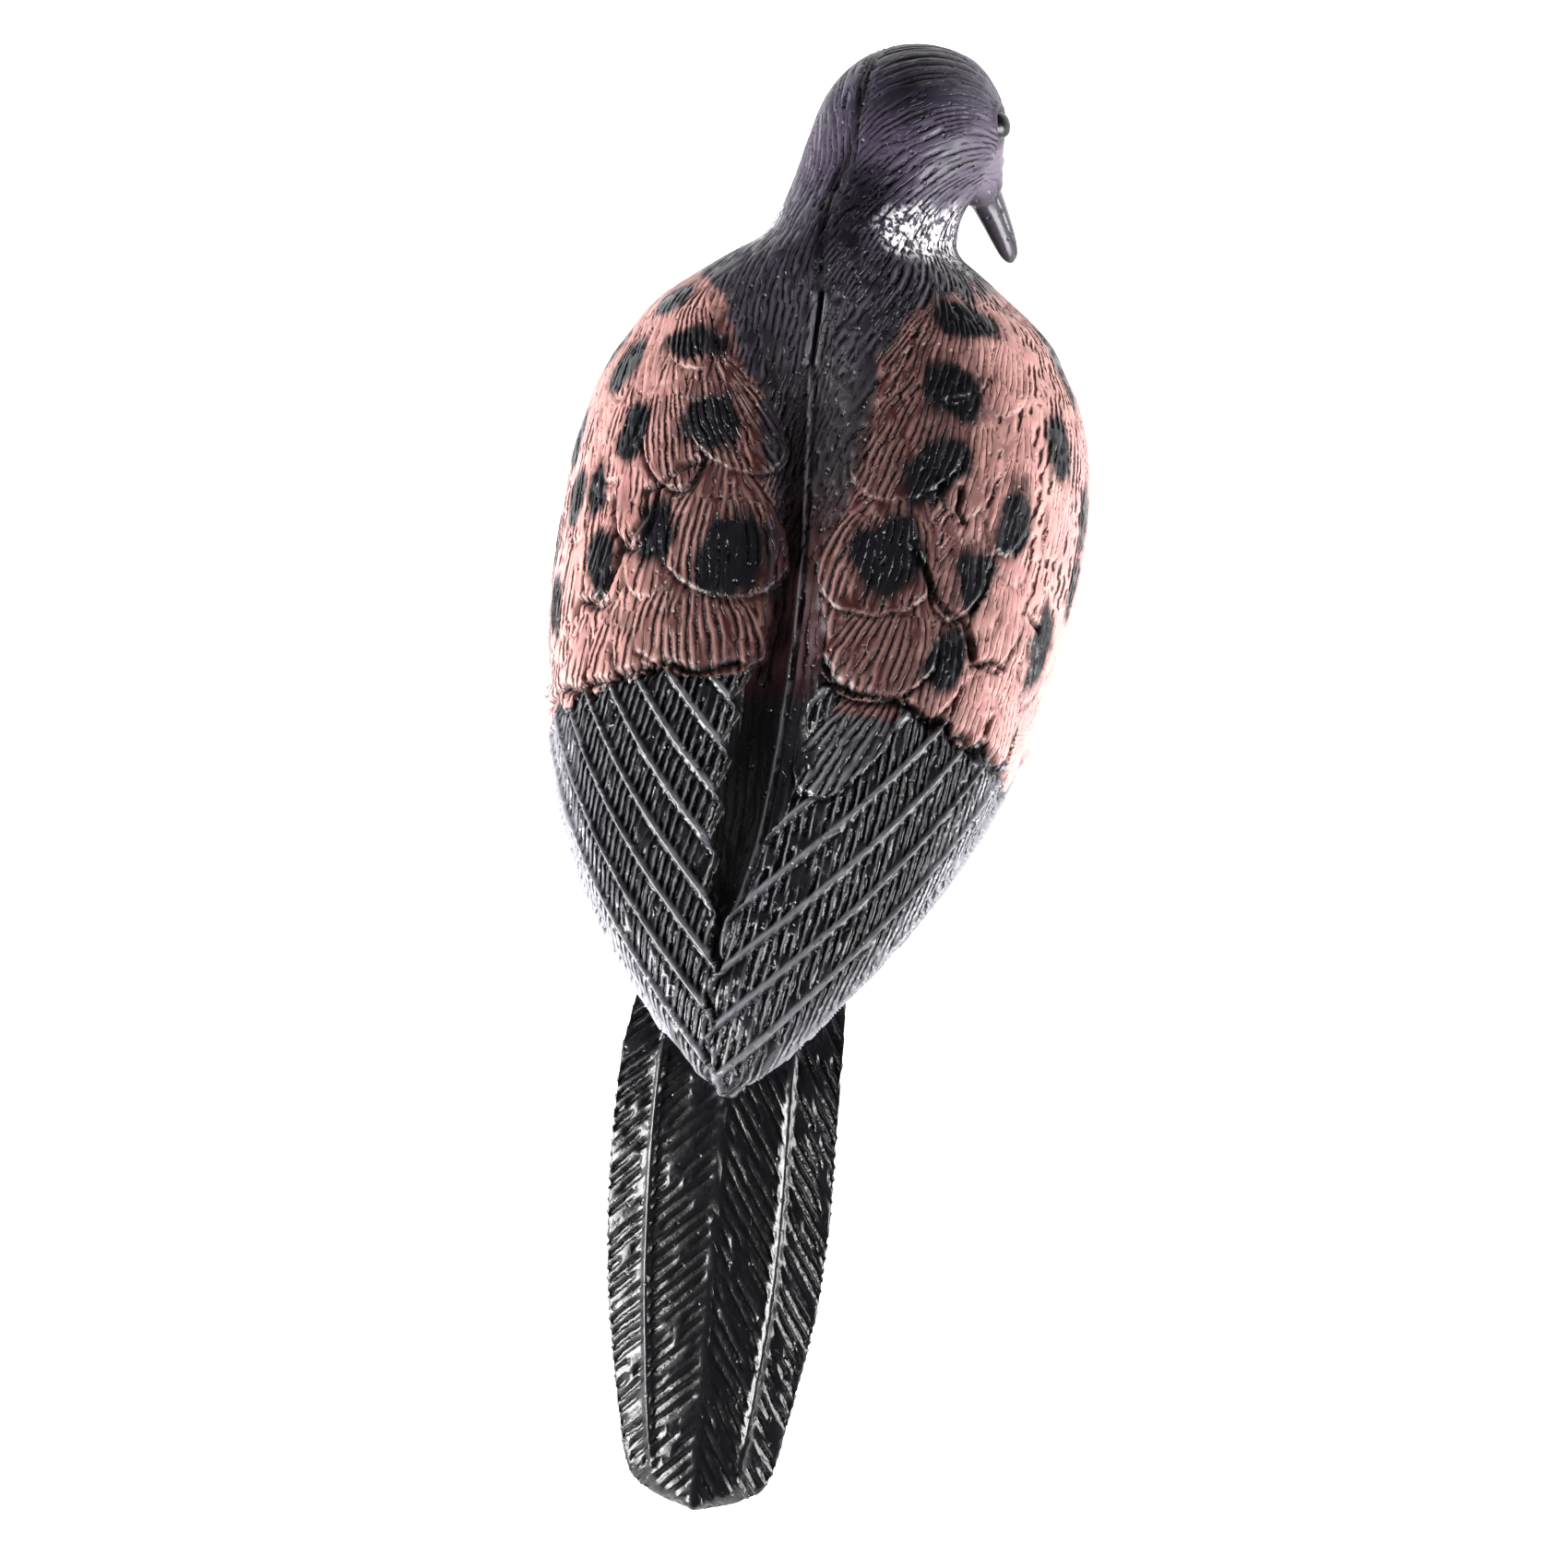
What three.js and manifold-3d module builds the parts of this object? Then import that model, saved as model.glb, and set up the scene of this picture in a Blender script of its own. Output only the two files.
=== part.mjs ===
// A moulded dove decoy: one solid piece, lying on its breast with its tail tip down.
// Millimetres, +Z up, +Y towards the head, +X the bird's right. The plane it lies on is at
// z = 0, with the origin in the middle of the flat on its breast.
// The shape is worked out in the bird's own axes (x right, y from tail tip to crown, z to
// the back) and then leaned back by bodyLean, so that tail tip and breast share the plane.

import * as THREE from 'three';
import { mergeVertices } from 'three/addons/utils/BufferGeometryUtils.js';
import Module from 'manifold-3d';

const wasm = await Module();
wasm.setup();

// Driving sizes of the bird
const birdLength = 314.4; // tail tip to crown, along the bird's own axis
const bodyWidth = 112; // across both wings
const bodyHeight = 100; // scale of the back-to-breast profile
const bodyLean = 21.2; // degrees that the bird's axis rises from the plane
const restDepth = 2.6; // how far the breast is cut flat, so that it can't roll

// Driving sizes of the tail
const tailWidth = 49;
const tailThickness = 6; // along its middle
const tailEdge = 2.4; // at its sides
const tailCrown = 4; // how far its sides droop
const tailQuillHeight = 1.1; // the raised quills on its back

// Driving sizes of the head
const neckWidth = 40;
const headLength = 33; // back of the skull to the root of the bill
const headWidth = 22;
const headHeight = 26;
const billLength = 17.5;
const billWidth = 7;
const billHeight = 9;
const eyeDiameter = 6.4;
const eyeBulge = 1.5; // how far an eye stands out of the cheek
const cereWidth = 5.5; // each of the two swellings at the root of the bill

// Driving sizes of the carving
const wingStep = 2.2; // how far a folded wing stands off the body
const feathersPerWing = 6; // long flight feathers that show on each wing
const flightStep = 1.3; // rise of a flight feather's quill
const covertStep = 1.5; // rise of a covert feather's tip
const featherRoot = 2.5; // how deep each feather is sunk in what it lies on
const valleyDepth = 5; // dip of the back between the two folded wings
const valleyWidth = 11;
const seamHeight = 0.7; // the mould's parting line
const seamWidth = 1.6;

// How finely the surfaces are faceted
const bodyRings = 28;
const bodySides = 36;
const headSides = 16;
const endCrowding = 0.45; // how far the body's rings crowd towards its ends

const { PI, cos, sin, sqrt, exp, min, max } = Math;
const clamp = (v, lo, hi) => min(hi, max(lo, v));
const mix = (a, b, t) => a + (b - a) * t;
const smooth = (lo, hi, v) => {
  const t = clamp((v - lo) / (hi - lo), 0, 1);
  return t * t * (3 - 2 * t);
};

// A smooth curve through a few stations [where, value], flat beyond its ends
function profile(stations) {
  const slope = stations.map((station, i) => {
    const before = stations[max(0, i - 1)];
    const after = stations[min(stations.length - 1, i + 1)];
    return (after[1] - before[1]) / (after[0] - before[0]);
  });
  return (at) => {
    const last = stations.length - 1;
    if (at <= stations[0][0]) return stations[0][1];
    if (at >= stations[last][0]) return stations[last][1];
    const i = stations.findIndex((station) => station[0] > at) - 1;
    const span = stations[i + 1][0] - stations[i][0];
    const t = (at - stations[i][0]) / span;
    const low = stations[i][1];
    const high = stations[i + 1][1];
    const rise = slope[i] * span;
    const fall = slope[i + 1] * span;
    const ease = t * t * (3 - 2 * t);
    return mix(low, high, ease) + t * (1 - t) * ((1 - t) * rise - t * fall);
  };
}

// Body profiles: stations are shares of birdLength, values shares of the size named after
const wingTipAt = 0.281;
const widthShare = profile([ // of half the bodyWidth
  [0.281, 0.02], [0.304, 0.12], [0.352, 0.405], [0.4, 0.612], [0.463, 0.795], [0.527, 0.91],
  [0.591, 0.98], [0.66, 1], [0.712, 0.99], [0.751, 0.957], [0.783, 0.88], [0.815, 0.705],
  [0.84, 0.52], [0.86, 0.365],
]);
const middleShare = profile([ // height of the widest level, of bodyHeight
  [0.281, 0.245], [0.35, 0.24], [0.415, 0.19], [0.48, 0.105], [0.543, 0.01], [0.607, -0.075],
  [0.671, -0.155], [0.735, -0.21], [0.8, -0.245], [0.87, -0.23], [0.93, -0.225], [1, -0.27],
]);
const backShare = profile([ // height of the top of the back
  [0.281, 0.275], [0.35, 0.31], [0.415, 0.3], [0.48, 0.28], [0.543, 0.255], [0.607, 0.225],
  [0.671, 0.195], [0.735, 0.17], [0.8, 0.145], [0.85, 0.115], [0.88, 0.06], [0.92, -0.01],
]);
const bellyShare = profile([ // height of the underside
  [0.281, 0.13], [0.32, 0.02], [0.36, -0.12], [0.415, -0.32], [0.48, -0.51], [0.543, -0.66],
  [0.607, -0.76], [0.671, -0.83], [0.72, -0.85], [0.77, -0.8], [0.81, -0.7], [0.85, -0.56],
  [0.88, -0.45],
]);
const spineShare = profile([ // how far the neck turns to the bird's right, of neckWidth
  [0.8, 0], [0.86, 0.02], [0.885, 0.065], [0.91, 0.135], [0.94, 0.2], [1, 0.235],
]);

const wingStartAt = 0.3; // the wing's shell, from its tip
const wingEndAt = 0.81; // to its shoulder
const covertShows = 0.35; // how much of a covert's rise shows in the outline
const neckFrom = [0.845, 0.885]; // where the torso's section gives way to the round neck
const neckPinch = 0.93; // the neck's narrowest width, of neckWidth
const valleyFrom = [0.4, 0.52];
const valleyTo = [0.74, 0.86];

// One section of body and neck, as sizes in millimetres
function section(y) {
  const at = y / birdLength;
  const cap = neckWidth / 2;
  const capMiddle = birdLength - cap;
  const capWidth = sqrt(max(0, cap * cap - max(0, y - capMiddle) ** 2));
  const shouldered = 1 - smooth(wingEndAt - 0.03, wingEndAt, at);
  const winged = smooth(wingStartAt, wingStartAt + 0.06, at) * shouldered;
  const torso = (widthShare(at) * bodyWidth) / 2 - (wingStep + covertStep * covertShows) * winged;
  const throat = capWidth * mix(neckPinch, 1, smooth(0.88, 0.93, at));
  const half = mix(torso, throat, smooth(...neckFrom, at));
  const middle = middleShare(at) * bodyHeight;
  const up = mix(backShare(at) * bodyHeight - middle, capWidth, smooth(0.87, 0.93, at));
  const down = mix(middle - bellyShare(at) * bodyHeight, capWidth, smooth(0.86, 0.92, at));
  return { at, half, middle, up, down, spine: spineShare(at) * neckWidth };
}

// The body's surface: across runs from -1 (left flank) over 0 (mid-back) to 1 (right flank)
// and on to 2 or -2 at the middle of the belly
function bodyPoint(y, across, lift = 0) {
  const s = section(y);
  const angle = (PI / 2) * (1 - across);
  const x = (s.half + lift) * cos(angle);
  const round = sin(angle);
  const height = (round > 0 ? s.up : s.down) + lift;
  const between = smooth(...valleyFrom, s.at) * (1 - smooth(...valleyTo, s.at));
  const valley = round > 0 ? valleyDepth * between * exp(-((x / valleyWidth) ** 2)) : 0;
  return new THREE.Vector3(x + s.spine, y, s.middle + height * round - valley);
}

// A closed surface from rings of points, its ends closed by their middles
function skin(rings) {
  const positions = [];
  const put = (...points) => points.forEach((p) => positions.push(p.x, p.y, p.z));
  for (let i = 0; i + 1 < rings.length; i += 1) {
    const near = rings[i];
    const far = rings[i + 1];
    for (let j = 0; j < near.length; j += 1) {
      const k = (j + 1) % near.length;
      put(near[j], near[k], far[k]);
      put(near[j], far[k], far[j]);
    }
  }
  const close = (ring, facing) => {
    const middle = ring.reduce((sum, p) => sum.add(p), new THREE.Vector3()).divideScalar(ring.length);
    ring.forEach((p, j) => {
      const next = ring[(j + 1) % ring.length];
      if (facing) put(middle, p, next);
      else put(middle, next, p);
    });
  };
  close(rings[0], false);
  close(rings[rings.length - 1], true);
  const geometry = new THREE.BufferGeometry();
  geometry.setAttribute('position', new THREE.Float32BufferAttribute(positions, 3));
  return geometry;
}

// Merges shared corners, drops faces that shrank to nothing and hands over a solid
function solid(geometry) {
  const bare = new THREE.BufferGeometry();
  bare.setAttribute('position', geometry.getAttribute('position'));
  if (geometry.index) bare.setIndex(geometry.index);
  const merged = mergeVertices(bare, 1e-4);
  const corners = merged.index.array;
  const kept = [];
  for (let i = 0; i < corners.length; i += 3) {
    const [a, b, c] = [corners[i], corners[i + 1], corners[i + 2]];
    if (a !== b && b !== c && c !== a) kept.push(a, b, c);
  }
  return new wasm.Manifold(new wasm.Mesh({
    numProp: 3,
    vertProperties: new Float32Array(merged.getAttribute('position').array),
    triVerts: new Uint32Array(kept),
  }));
}

// The solid between rings of points, whichever way round they run
function loft(rings) {
  const result = solid(skin(rings));
  return result.volume() > 0 ? result : solid(skin(rings.map((ring) => ring.slice().reverse())));
}

// Evenly spread numbers from one value to another
const steps = (count, from, to) => Array.from({ length: count + 1 }, (_, i) => mix(from, to, i / count));

// Torso, neck and the round back of the head, as one loft along the bird's axis
function body() {
  const start = birdLength * wingTipAt;
  const end = birdLength;
  const rings = steps(bodyRings, 0, 1).map((t) => {
    const eased = mix(t, (1 - cos(PI * t)) / 2, endCrowding);
    const y = clamp(mix(start, end, eased), start + 0.2, end - 0.15);
    return steps(bodySides - 1, 0, 4 - 4 / bodySides).map((turn) => bodyPoint(y, turn - 2));
  });
  return loft(rings);
}

// Tail: a crowned blade that runs into the rump, with a round end
const tailSlope = profile([ // height of its back, of bodyHeight
  [0, 0.03], [0.03, 0.05], [0.09, 0.1], [0.15, 0.145], [0.21, 0.185], [0.26, 0.215], [0.31, 0.225],
  [0.42, 0.14],
]);
const tailShare = profile([
  [0, 0], [0.006, 0.28], [0.016, 0.55], [0.03, 0.66], [0.06, 0.75], [0.1, 0.85], [0.15, 0.95],
  [0.22, 1], [0.3, 0.98], [0.34, 0.93], [0.42, 0.8],
]);
const tailBend = profile([[0, -1.6], [0.05, -1.5], [0.15, -0.9], [0.3, -0.8], [0.4, 0]]); // sideways, in mm
const tailRootAt = 0.4;
const rumpFrom = 0.24; // from here the blade thickens into the rump
const rumpThickening = 3; // times the tailThickness
const tailQuills = [-0.6, 0.57]; // where the outer quills run, as shares of the half width
const quillWidth = 0.07; // share of the half width

function tail() {
  const across = steps(12, -1, 1);
  const rings = steps(20, 0.0015, 1).map((t) => {
    const at = t * tailRootAt;
    const half = (tailShare(at) * tailWidth) / 2;
    const back = tailSlope(at) * bodyHeight;
    const rump = rumpThickening * smooth(rumpFrom, tailRootAt, at);
    const thick = tailThickness * (min(1, 0.4 + at * 10) + rump);
    const sharp = (u) => 1 - u ** 8; // closes the blade at its side edges
    const crowned = (u) => back - tailCrown * u * u;
    const top = (u) => {
      const quill = tailQuills.reduce((sum, v) => sum + exp(-(((u - v) / quillWidth) ** 2)), 0);
      return crowned(u) + tailQuillHeight * quill * sharp(u) * smooth(0.02, 0.1, at);
    };
    const bottom = (u) => crowned(u) - tailEdge * sharp(u) - (thick - tailEdge) * (1 - u * u);
    const at3d = (u, z) => new THREE.Vector3(half * u + tailBend(at), at * birdLength, z);
    const upper = across.map((u) => at3d(u, top(u)));
    const lower = across.slice(1, -1).reverse().map((u) => at3d(u, bottom(u)));
    return [...upper, ...lower];
  });
  return loft(rings);
}

// A patch of the body's surface, raised by rise(s, t) and sunk by featherRoot, where s runs
// from one side edge to the other and t from root to tip
function patch(place, rise, along, wide) {
  const rings = steps(along, 0, 1).map((t) => {
    const upper = steps(wide, 0, 1).map((s) => place(s, t, rise(s, t)));
    const lower = steps(wide, 1, 0).map((s) => place(s, t, -featherRoot));
    return [...upper, ...lower];
  });
  return loft(rings);
}

// Folded wing: a shell over the flank, from beside the mid-back round to below the widest level
const wingInner = profile([[0.29, 0], [0.4, 0.1], [0.5, 0.15], [0.6, 0.1], [0.7, 0.16], [0.8, 0.42]]);
const wingOuter = profile([[0.29, 1], [0.4, 1.04], [0.5, 1.16], [0.6, 1.3], [0.7, 1.34], [0.8, 1.15]]);
const wingRise = 0.25; // share of its length over which the shell rises at the shoulder

function wing(side) {
  const place = (s, t, lift) => {
    const at = mix(wingEndAt, wingStartAt, t);
    return bodyPoint(at * birdLength, side * mix(wingInner(at), wingOuter(at), s), lift);
  };
  const rise = (s, t) => wingStep * sqrt(max(0, 1 - (2 * s - 1) ** 8)) * smooth(0, wingRise, t);
  return patch(place, rise, 12, 6);
}

// Flight feather: a long strip between two curves that sweep from the wing's outer edge
// back to the mid-line, with its quill raised along its middle
const flightRootAt = [0.57, 0.5]; // the first and the last feather's root
const flightRootAcross = [0.4, 0.99];
const flightTipAt = [0.47, 0.3]; // and their tips
const flightTipAcross = 0.2;
const flightSweep = 0.014; // how far a feather bows towards the tail
const flightOverlap = 0.12; // how far each feather lies under its neighbour, of its width

function flightFeather(side, index) {
  const edge = (k, t) => {
    const share = max(0, k / feathersPerWing);
    const at = mix(mix(...flightRootAt, share), mix(...flightTipAt, share ** 0.8), t);
    const across = mix(mix(...flightRootAcross, share), flightTipAcross, t ** 1.15);
    return { at: at - flightSweep * sin(PI * t), across };
  };
  const place = (s, t, lift) => {
    const from = edge(index - flightOverlap, t);
    const to = edge(index + 1, t);
    const at = mix(from.at, to.at, s);
    return bodyPoint(at * birdLength, side * min(1.02, mix(from.across, to.across, s)), lift);
  };
  const rise = (s, t) => wingStep + flightStep * (0.25 + 0.75 * sin(PI * s)) * smooth(1.06, 0.8, t);
  return patch(place, rise, 8, 4);
}

// Covert feathers: broad scales with round tips, in rows down each wing
// Each row: where its tips lie, where its first feather lies across, the pitch, the count
const covertRows = [
  { tip: 0.735, first: 0.24, pitch: 0.31, count: 3 },
  { tip: 0.65, first: 0.2, pitch: 0.29, count: 4 },
  { tip: 0.56, first: 0.23, pitch: 0.24, count: 4 },
];
const covertLength = 0.1;
const covertFill = 0.62; // half width of a feather as a share of the pitch
const covertSlant = 0.007; // how much further back each next feather's tip lies
const covertSink = 0.6; // how far below the wing's surface a covert starts

function covert(side, row, index) {
  const middle = row.first + index * row.pitch;
  const tipAt = row.tip - covertSlant * index * index;
  const half = row.pitch * covertFill;
  const place = (s, t, lift) => {
    const round = sqrt(max(0.02, 1 - t ** 4));
    const across = middle + (2 * s - 1) * half * round;
    return bodyPoint((tipAt + covertLength * (1 - t)) * birdLength, side * across, lift);
  };
  const rise = (s, t) => {
    const crowned = 1 - 0.35 * (2 * s - 1) ** 2;
    return wingStep - covertSink + covertStep * smooth(-0.2, 0.9, t) * crowned;
  };
  return patch(place, rise, 4, 4);
}

// Head: a skull bowed and turned to the bird's right, tapering into the bill
const headMiddle = new THREE.Vector3(0.37, 0.95, -0.36); // of neckWidth, birdLength, bodyHeight
const gaze = new THREE.Vector3(0.402, -0.767, -0.5).normalize(); // where the bill points
const crown = new THREE.Vector3(0.168, 0.599, -0.784).normalize();
const cheek = new THREE.Vector3().crossVectors(gaze, crown).normalize();
const crownwards = new THREE.Vector3().crossVectors(cheek, gaze).normalize();
const skullBack = 0.46; // share of the headLength that lies behind the head's middle
const billDrop = 0.6; // how far the bill's root lies below the head's middle line
const billHook = 1.4; // how far its tip bends down
const skullShare = profile([
  [-0.46, 0], [-0.44, 0.36], [-0.39, 0.62], [-0.28, 0.87], [-0.12, 0.99], [0.06, 1], [0.22, 0.84],
  [0.36, 0.63], [0.47, 0.48], [0.54, 0.42],
]);
const billShare = profile([[0, 1], [0.3, 0.86], [0.62, 0.72], [0.85, 0.55], [0.97, 0.28], [1, 0.05]]);

const headOrigin = () => new THREE.Vector3(
  headMiddle.x * neckWidth, headMiddle.y * birdLength, headMiddle.z * bodyHeight,
);
const headPoint = (forward, right, up) => headOrigin()
  .addScaledVector(gaze, forward).addScaledVector(cheek, right).addScaledVector(crownwards, up);

function head() {
  const root = (1 - skullBack) * headLength;
  const turns = steps(headSides - 1, 0, 2 * PI * (1 - 1 / headSides));
  const oval = (forward, wide, tall, drop) => turns.map((turn) => (
    headPoint(forward, (wide / 2) * cos(turn), (tall / 2) * sin(turn) - drop)
  ));
  const skull = steps(12, -skullBack, 1 - skullBack).map((at) => {
    const share = skullShare(at);
    const drop = billDrop * smooth(0.1, 1 - skullBack, at);
    return oval(at * headLength, share * headWidth, share * headHeight, drop);
  });
  const bill = steps(6, 0.12, 1).map((t) => {
    const share = billShare(t);
    return oval(root + t * billLength, share * billWidth, share * billHeight, billDrop + billHook * t * t);
  });
  return loft([...skull, ...bill]);
}

function ball(middle, radius) {
  const sphere = new THREE.SphereGeometry(radius, 12, 7);
  sphere.translate(middle.x, middle.y, middle.z);
  return solid(sphere);
}

// An eye: the low cap of a ball that the skull hides the rest of
const eyeForward = -1.2; // ahead of the skull's middle
const eyeUp = -8.3; // above the skull's middle line: below it, on the round back of the head
const leftSkin = 22.1; // from the skull's middle plane to the skin on its left, over the neck
const rightSkin = 16.7; // and on its right
function eye(side) {
  const skin = side > 0 ? rightSkin : leftSkin;
  const radius = ((eyeDiameter / 2) ** 2 + eyeBulge ** 2) / (2 * eyeBulge);
  return ball(headPoint(eyeForward, side * (skin + eyeBulge - radius), eyeUp), radius);
}

const cereAt = 0.86; // share of the headLength from the back of the skull
const cereUp = 0.16; // share of the headHeight above its middle line
const cereApart = 0.42; // of its width, to each side
function cere(side) {
  const forward = (cereAt - skullBack) * headLength;
  return ball(headPoint(forward, side * cereWidth * cereApart, headHeight * cereUp), cereWidth / 2);
}

// Parting line: a low ridge along the mid-line of tail and back
function seam() {
  const half = seamWidth / 2;
  const outline = [[-half, -seamWidth], [half, -seamWidth], [half, 0], [0, seamHeight], [-half, 0]];
  const ridge = (from, to, count, place) => loft(steps(count, from, to).map((at) => {
    const [middle, top] = place(at);
    return outline.map(([x, up]) => new THREE.Vector3(middle + x, at * birdLength, top + up));
  }));
  const onBack = (at) => [section(at * birdLength).spine, bodyPoint(at * birdLength, 0).z];
  const back = ridge(0.44, 0.86, 18, onBack);
  const blade = ridge(0.012, 0.33, 14, (at) => [tailBend(at), tailSlope(at) * bodyHeight]);
  return back.add(blade);
}

// The point of the leaned breast that lies lowest
function breastLowest() {
  const lean = (bodyLean * PI) / 180;
  return steps(200, 0.5, 0.85)
    .map((at) => bodyPoint(at * birdLength, 2).applyAxisAngle(new THREE.Vector3(1, 0, 0), lean))
    .reduce((low, point) => (point.z < low.z ? point : low));
}

// All pieces joined into the one moulded solid, leaned back and cut flat where it rests
function decoy() {
  let joined = body().add(tail()).add(head()).add(seam());
  for (const side of [-1, 1]) {
    joined = joined.add(wing(side)).add(eye(side)).add(cere(side));
    for (let index = 0; index < feathersPerWing; index += 1) {
      joined = joined.add(flightFeather(side, index));
    }
    for (const row of covertRows) {
      for (let index = 0; index < row.count; index += 1) {
        joined = joined.add(covert(side, row, index));
      }
    }
  }
  const lowest = breastLowest();
  const rested = joined.rotate([bodyLean, 0, 0]).translate([0, -lowest.y, -lowest.z - restDepth]);
  const below = new THREE.BoxGeometry(birdLength * 3, birdLength * 3, birdLength);
  below.translate(0, 0, -birdLength / 2);
  return rested.subtract(solid(below));
}

function toGeometry(manifold) {
  const mesh = manifold.getMesh();
  const geometry = new THREE.BufferGeometry();
  geometry.setAttribute('position', new THREE.Float32BufferAttribute(mesh.vertProperties, 3));
  geometry.setIndex(new THREE.Uint32BufferAttribute(mesh.triVerts, 1));
  return geometry;
}

const plastic = new THREE.MeshStandardMaterial({ color: 0x6b4a46, roughness: 0.5, metalness: 0 });
const bird = new THREE.Mesh(toGeometry(decoy()), plastic);
bird.name = 'decoy';

const group = new THREE.Group();
group.add(bird);

export default group;
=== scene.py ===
"""The looks of a moulded dove decoy: its carved and painted skin, and a plain pale stage."""

import math

import bpy
import numpy as np
from mathutils import Matrix, Vector


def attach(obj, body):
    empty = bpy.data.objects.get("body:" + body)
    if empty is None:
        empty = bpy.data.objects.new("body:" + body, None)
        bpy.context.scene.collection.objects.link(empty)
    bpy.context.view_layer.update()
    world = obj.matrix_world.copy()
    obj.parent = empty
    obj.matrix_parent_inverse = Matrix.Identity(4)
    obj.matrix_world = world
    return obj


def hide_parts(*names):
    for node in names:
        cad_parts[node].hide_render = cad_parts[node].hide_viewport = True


bl_info = {
    "name": "Dove Decoy",
    "version": (1, 0, 0),
    "blender": (4, 5, 0),
    "location": "3D View > Sidebar > Dove Decoy",
    "description": "Moulds, carves and paints a dove decoy over its solid, and sets a plain stage",
    "category": "Object",
}

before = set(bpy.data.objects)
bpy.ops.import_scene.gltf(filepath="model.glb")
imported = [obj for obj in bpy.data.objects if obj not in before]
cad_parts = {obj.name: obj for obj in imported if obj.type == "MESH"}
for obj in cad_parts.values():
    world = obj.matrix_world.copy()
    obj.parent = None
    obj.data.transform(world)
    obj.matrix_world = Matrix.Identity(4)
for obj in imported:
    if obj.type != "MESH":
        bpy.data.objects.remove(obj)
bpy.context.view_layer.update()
MM = 0.001
PIECE = "moulded_dove"


# Sizes and colours that a user may change


def length(name, description, default):
    """A length in metres, as a property."""
    return bpy.props.FloatProperty(
        name=name, description=description, default=default, min=0.0, unit="LENGTH", precision=5
    )


def turn(name, description, degrees):
    """An angle, as a property."""
    return bpy.props.FloatProperty(
        name=name, description=description, default=math.radians(degrees), unit="ROTATION"
    )


def number(name, description, default):
    """A plain number, as a property."""
    return bpy.props.FloatProperty(name=name, description=description, default=default, min=0.0)


def paint(name, description, default):
    """A paint colour as sRGB hex text."""
    return bpy.props.StringProperty(name=name, description=description, default=default)


class DoveSizes(bpy.types.PropertyGroup):
    """Sizes of the bird, the same as the solid's."""

    bird_length: length("Bird length", "Tail tip to crown along the bird's own axis", 0.3144)
    body_width: length("Body width", "Across both wings", 0.112)
    body_height: length("Body height", "Scale of the back-to-breast profile", 0.100)
    lean: turn("Lean", "How far the bird's axis rises from the plane it lies on", 21.2)
    rest_depth: length("Rest depth", "How far the breast is cut flat", 0.0026)
    neck_width: length("Neck width", "Across the round neck", 0.040)
    tail_width: length("Tail width", "Across the widest part of the tail", 0.049)
    tail_thickness: length("Tail thickness", "Along its middle", 0.006)
    tail_edge: length("Tail edge", "Thickness at its sides", 0.0024)
    tail_crown: length("Tail crown", "How far its sides droop", 0.004)
    head_length: length("Head length", "Back of the skull to the root of the bill", 0.033)
    head_width: length("Head width", "Across the cheeks", 0.022)
    head_height: length("Head height", "Crown to chin", 0.026)
    bill_length: length("Bill length", "From its root to its tip", 0.0175)
    bill_width: length("Bill width", "At its root", 0.007)
    bill_height: length("Bill height", "At its root", 0.009)
    eye_diameter: length("Eye diameter", "Where it leaves the skin", 0.0064)
    eye_bulge: length("Eye bulge", "How far an eye stands out of the skin", 0.0015)
    cere_width: length("Cere width", "Each swelling at the root of the bill", 0.0055)


class DoveCarving(bpy.types.PropertyGroup):
    """Sizes of the carved feathers."""

    skin_step: length("Skin step", "Edge length of the skin's first mesh", 0.00050)
    wing_step: length("Wing step", "How far a folded wing stands off the body", 0.0022)
    covert_step: length("Covert step", "Rise of the boldest covert feather's tip", 0.0011)
    covert_pitch: length("Covert groove pitch", "Between the grooves of a covert feather", 0.0016)
    flight_step: length("Flight step", "Rise of a flight feather over the next", 0.0009)
    barb_pitch: length("Barb pitch", "Between the grooves of a flight feather", 0.00148)
    tail_pitch: length("Tail barb pitch", "Between the grooves of the tail", 0.0023)
    stroke_pitch: length("Head stroke pitch", "Between the strokes of head and neck", 0.0014)
    groove_depth: length("Groove depth", "Of the carved grooves", 0.00050)
    quill_height: length("Quill height", "Of the raised feather shafts", 0.0007)
    valley_depth: length("Valley depth", "Dip of the back between the folded wings", 0.005)
    valley_width: length("Valley width", "Of that dip, to each side", 0.011)
    seam_height: length("Seam height", "Of the mould's parting line", 0.0005)
    triangles: bpy.props.IntProperty(
        name="Triangles", description="Most triangles the finished skin may have", default=196000
    )


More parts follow.
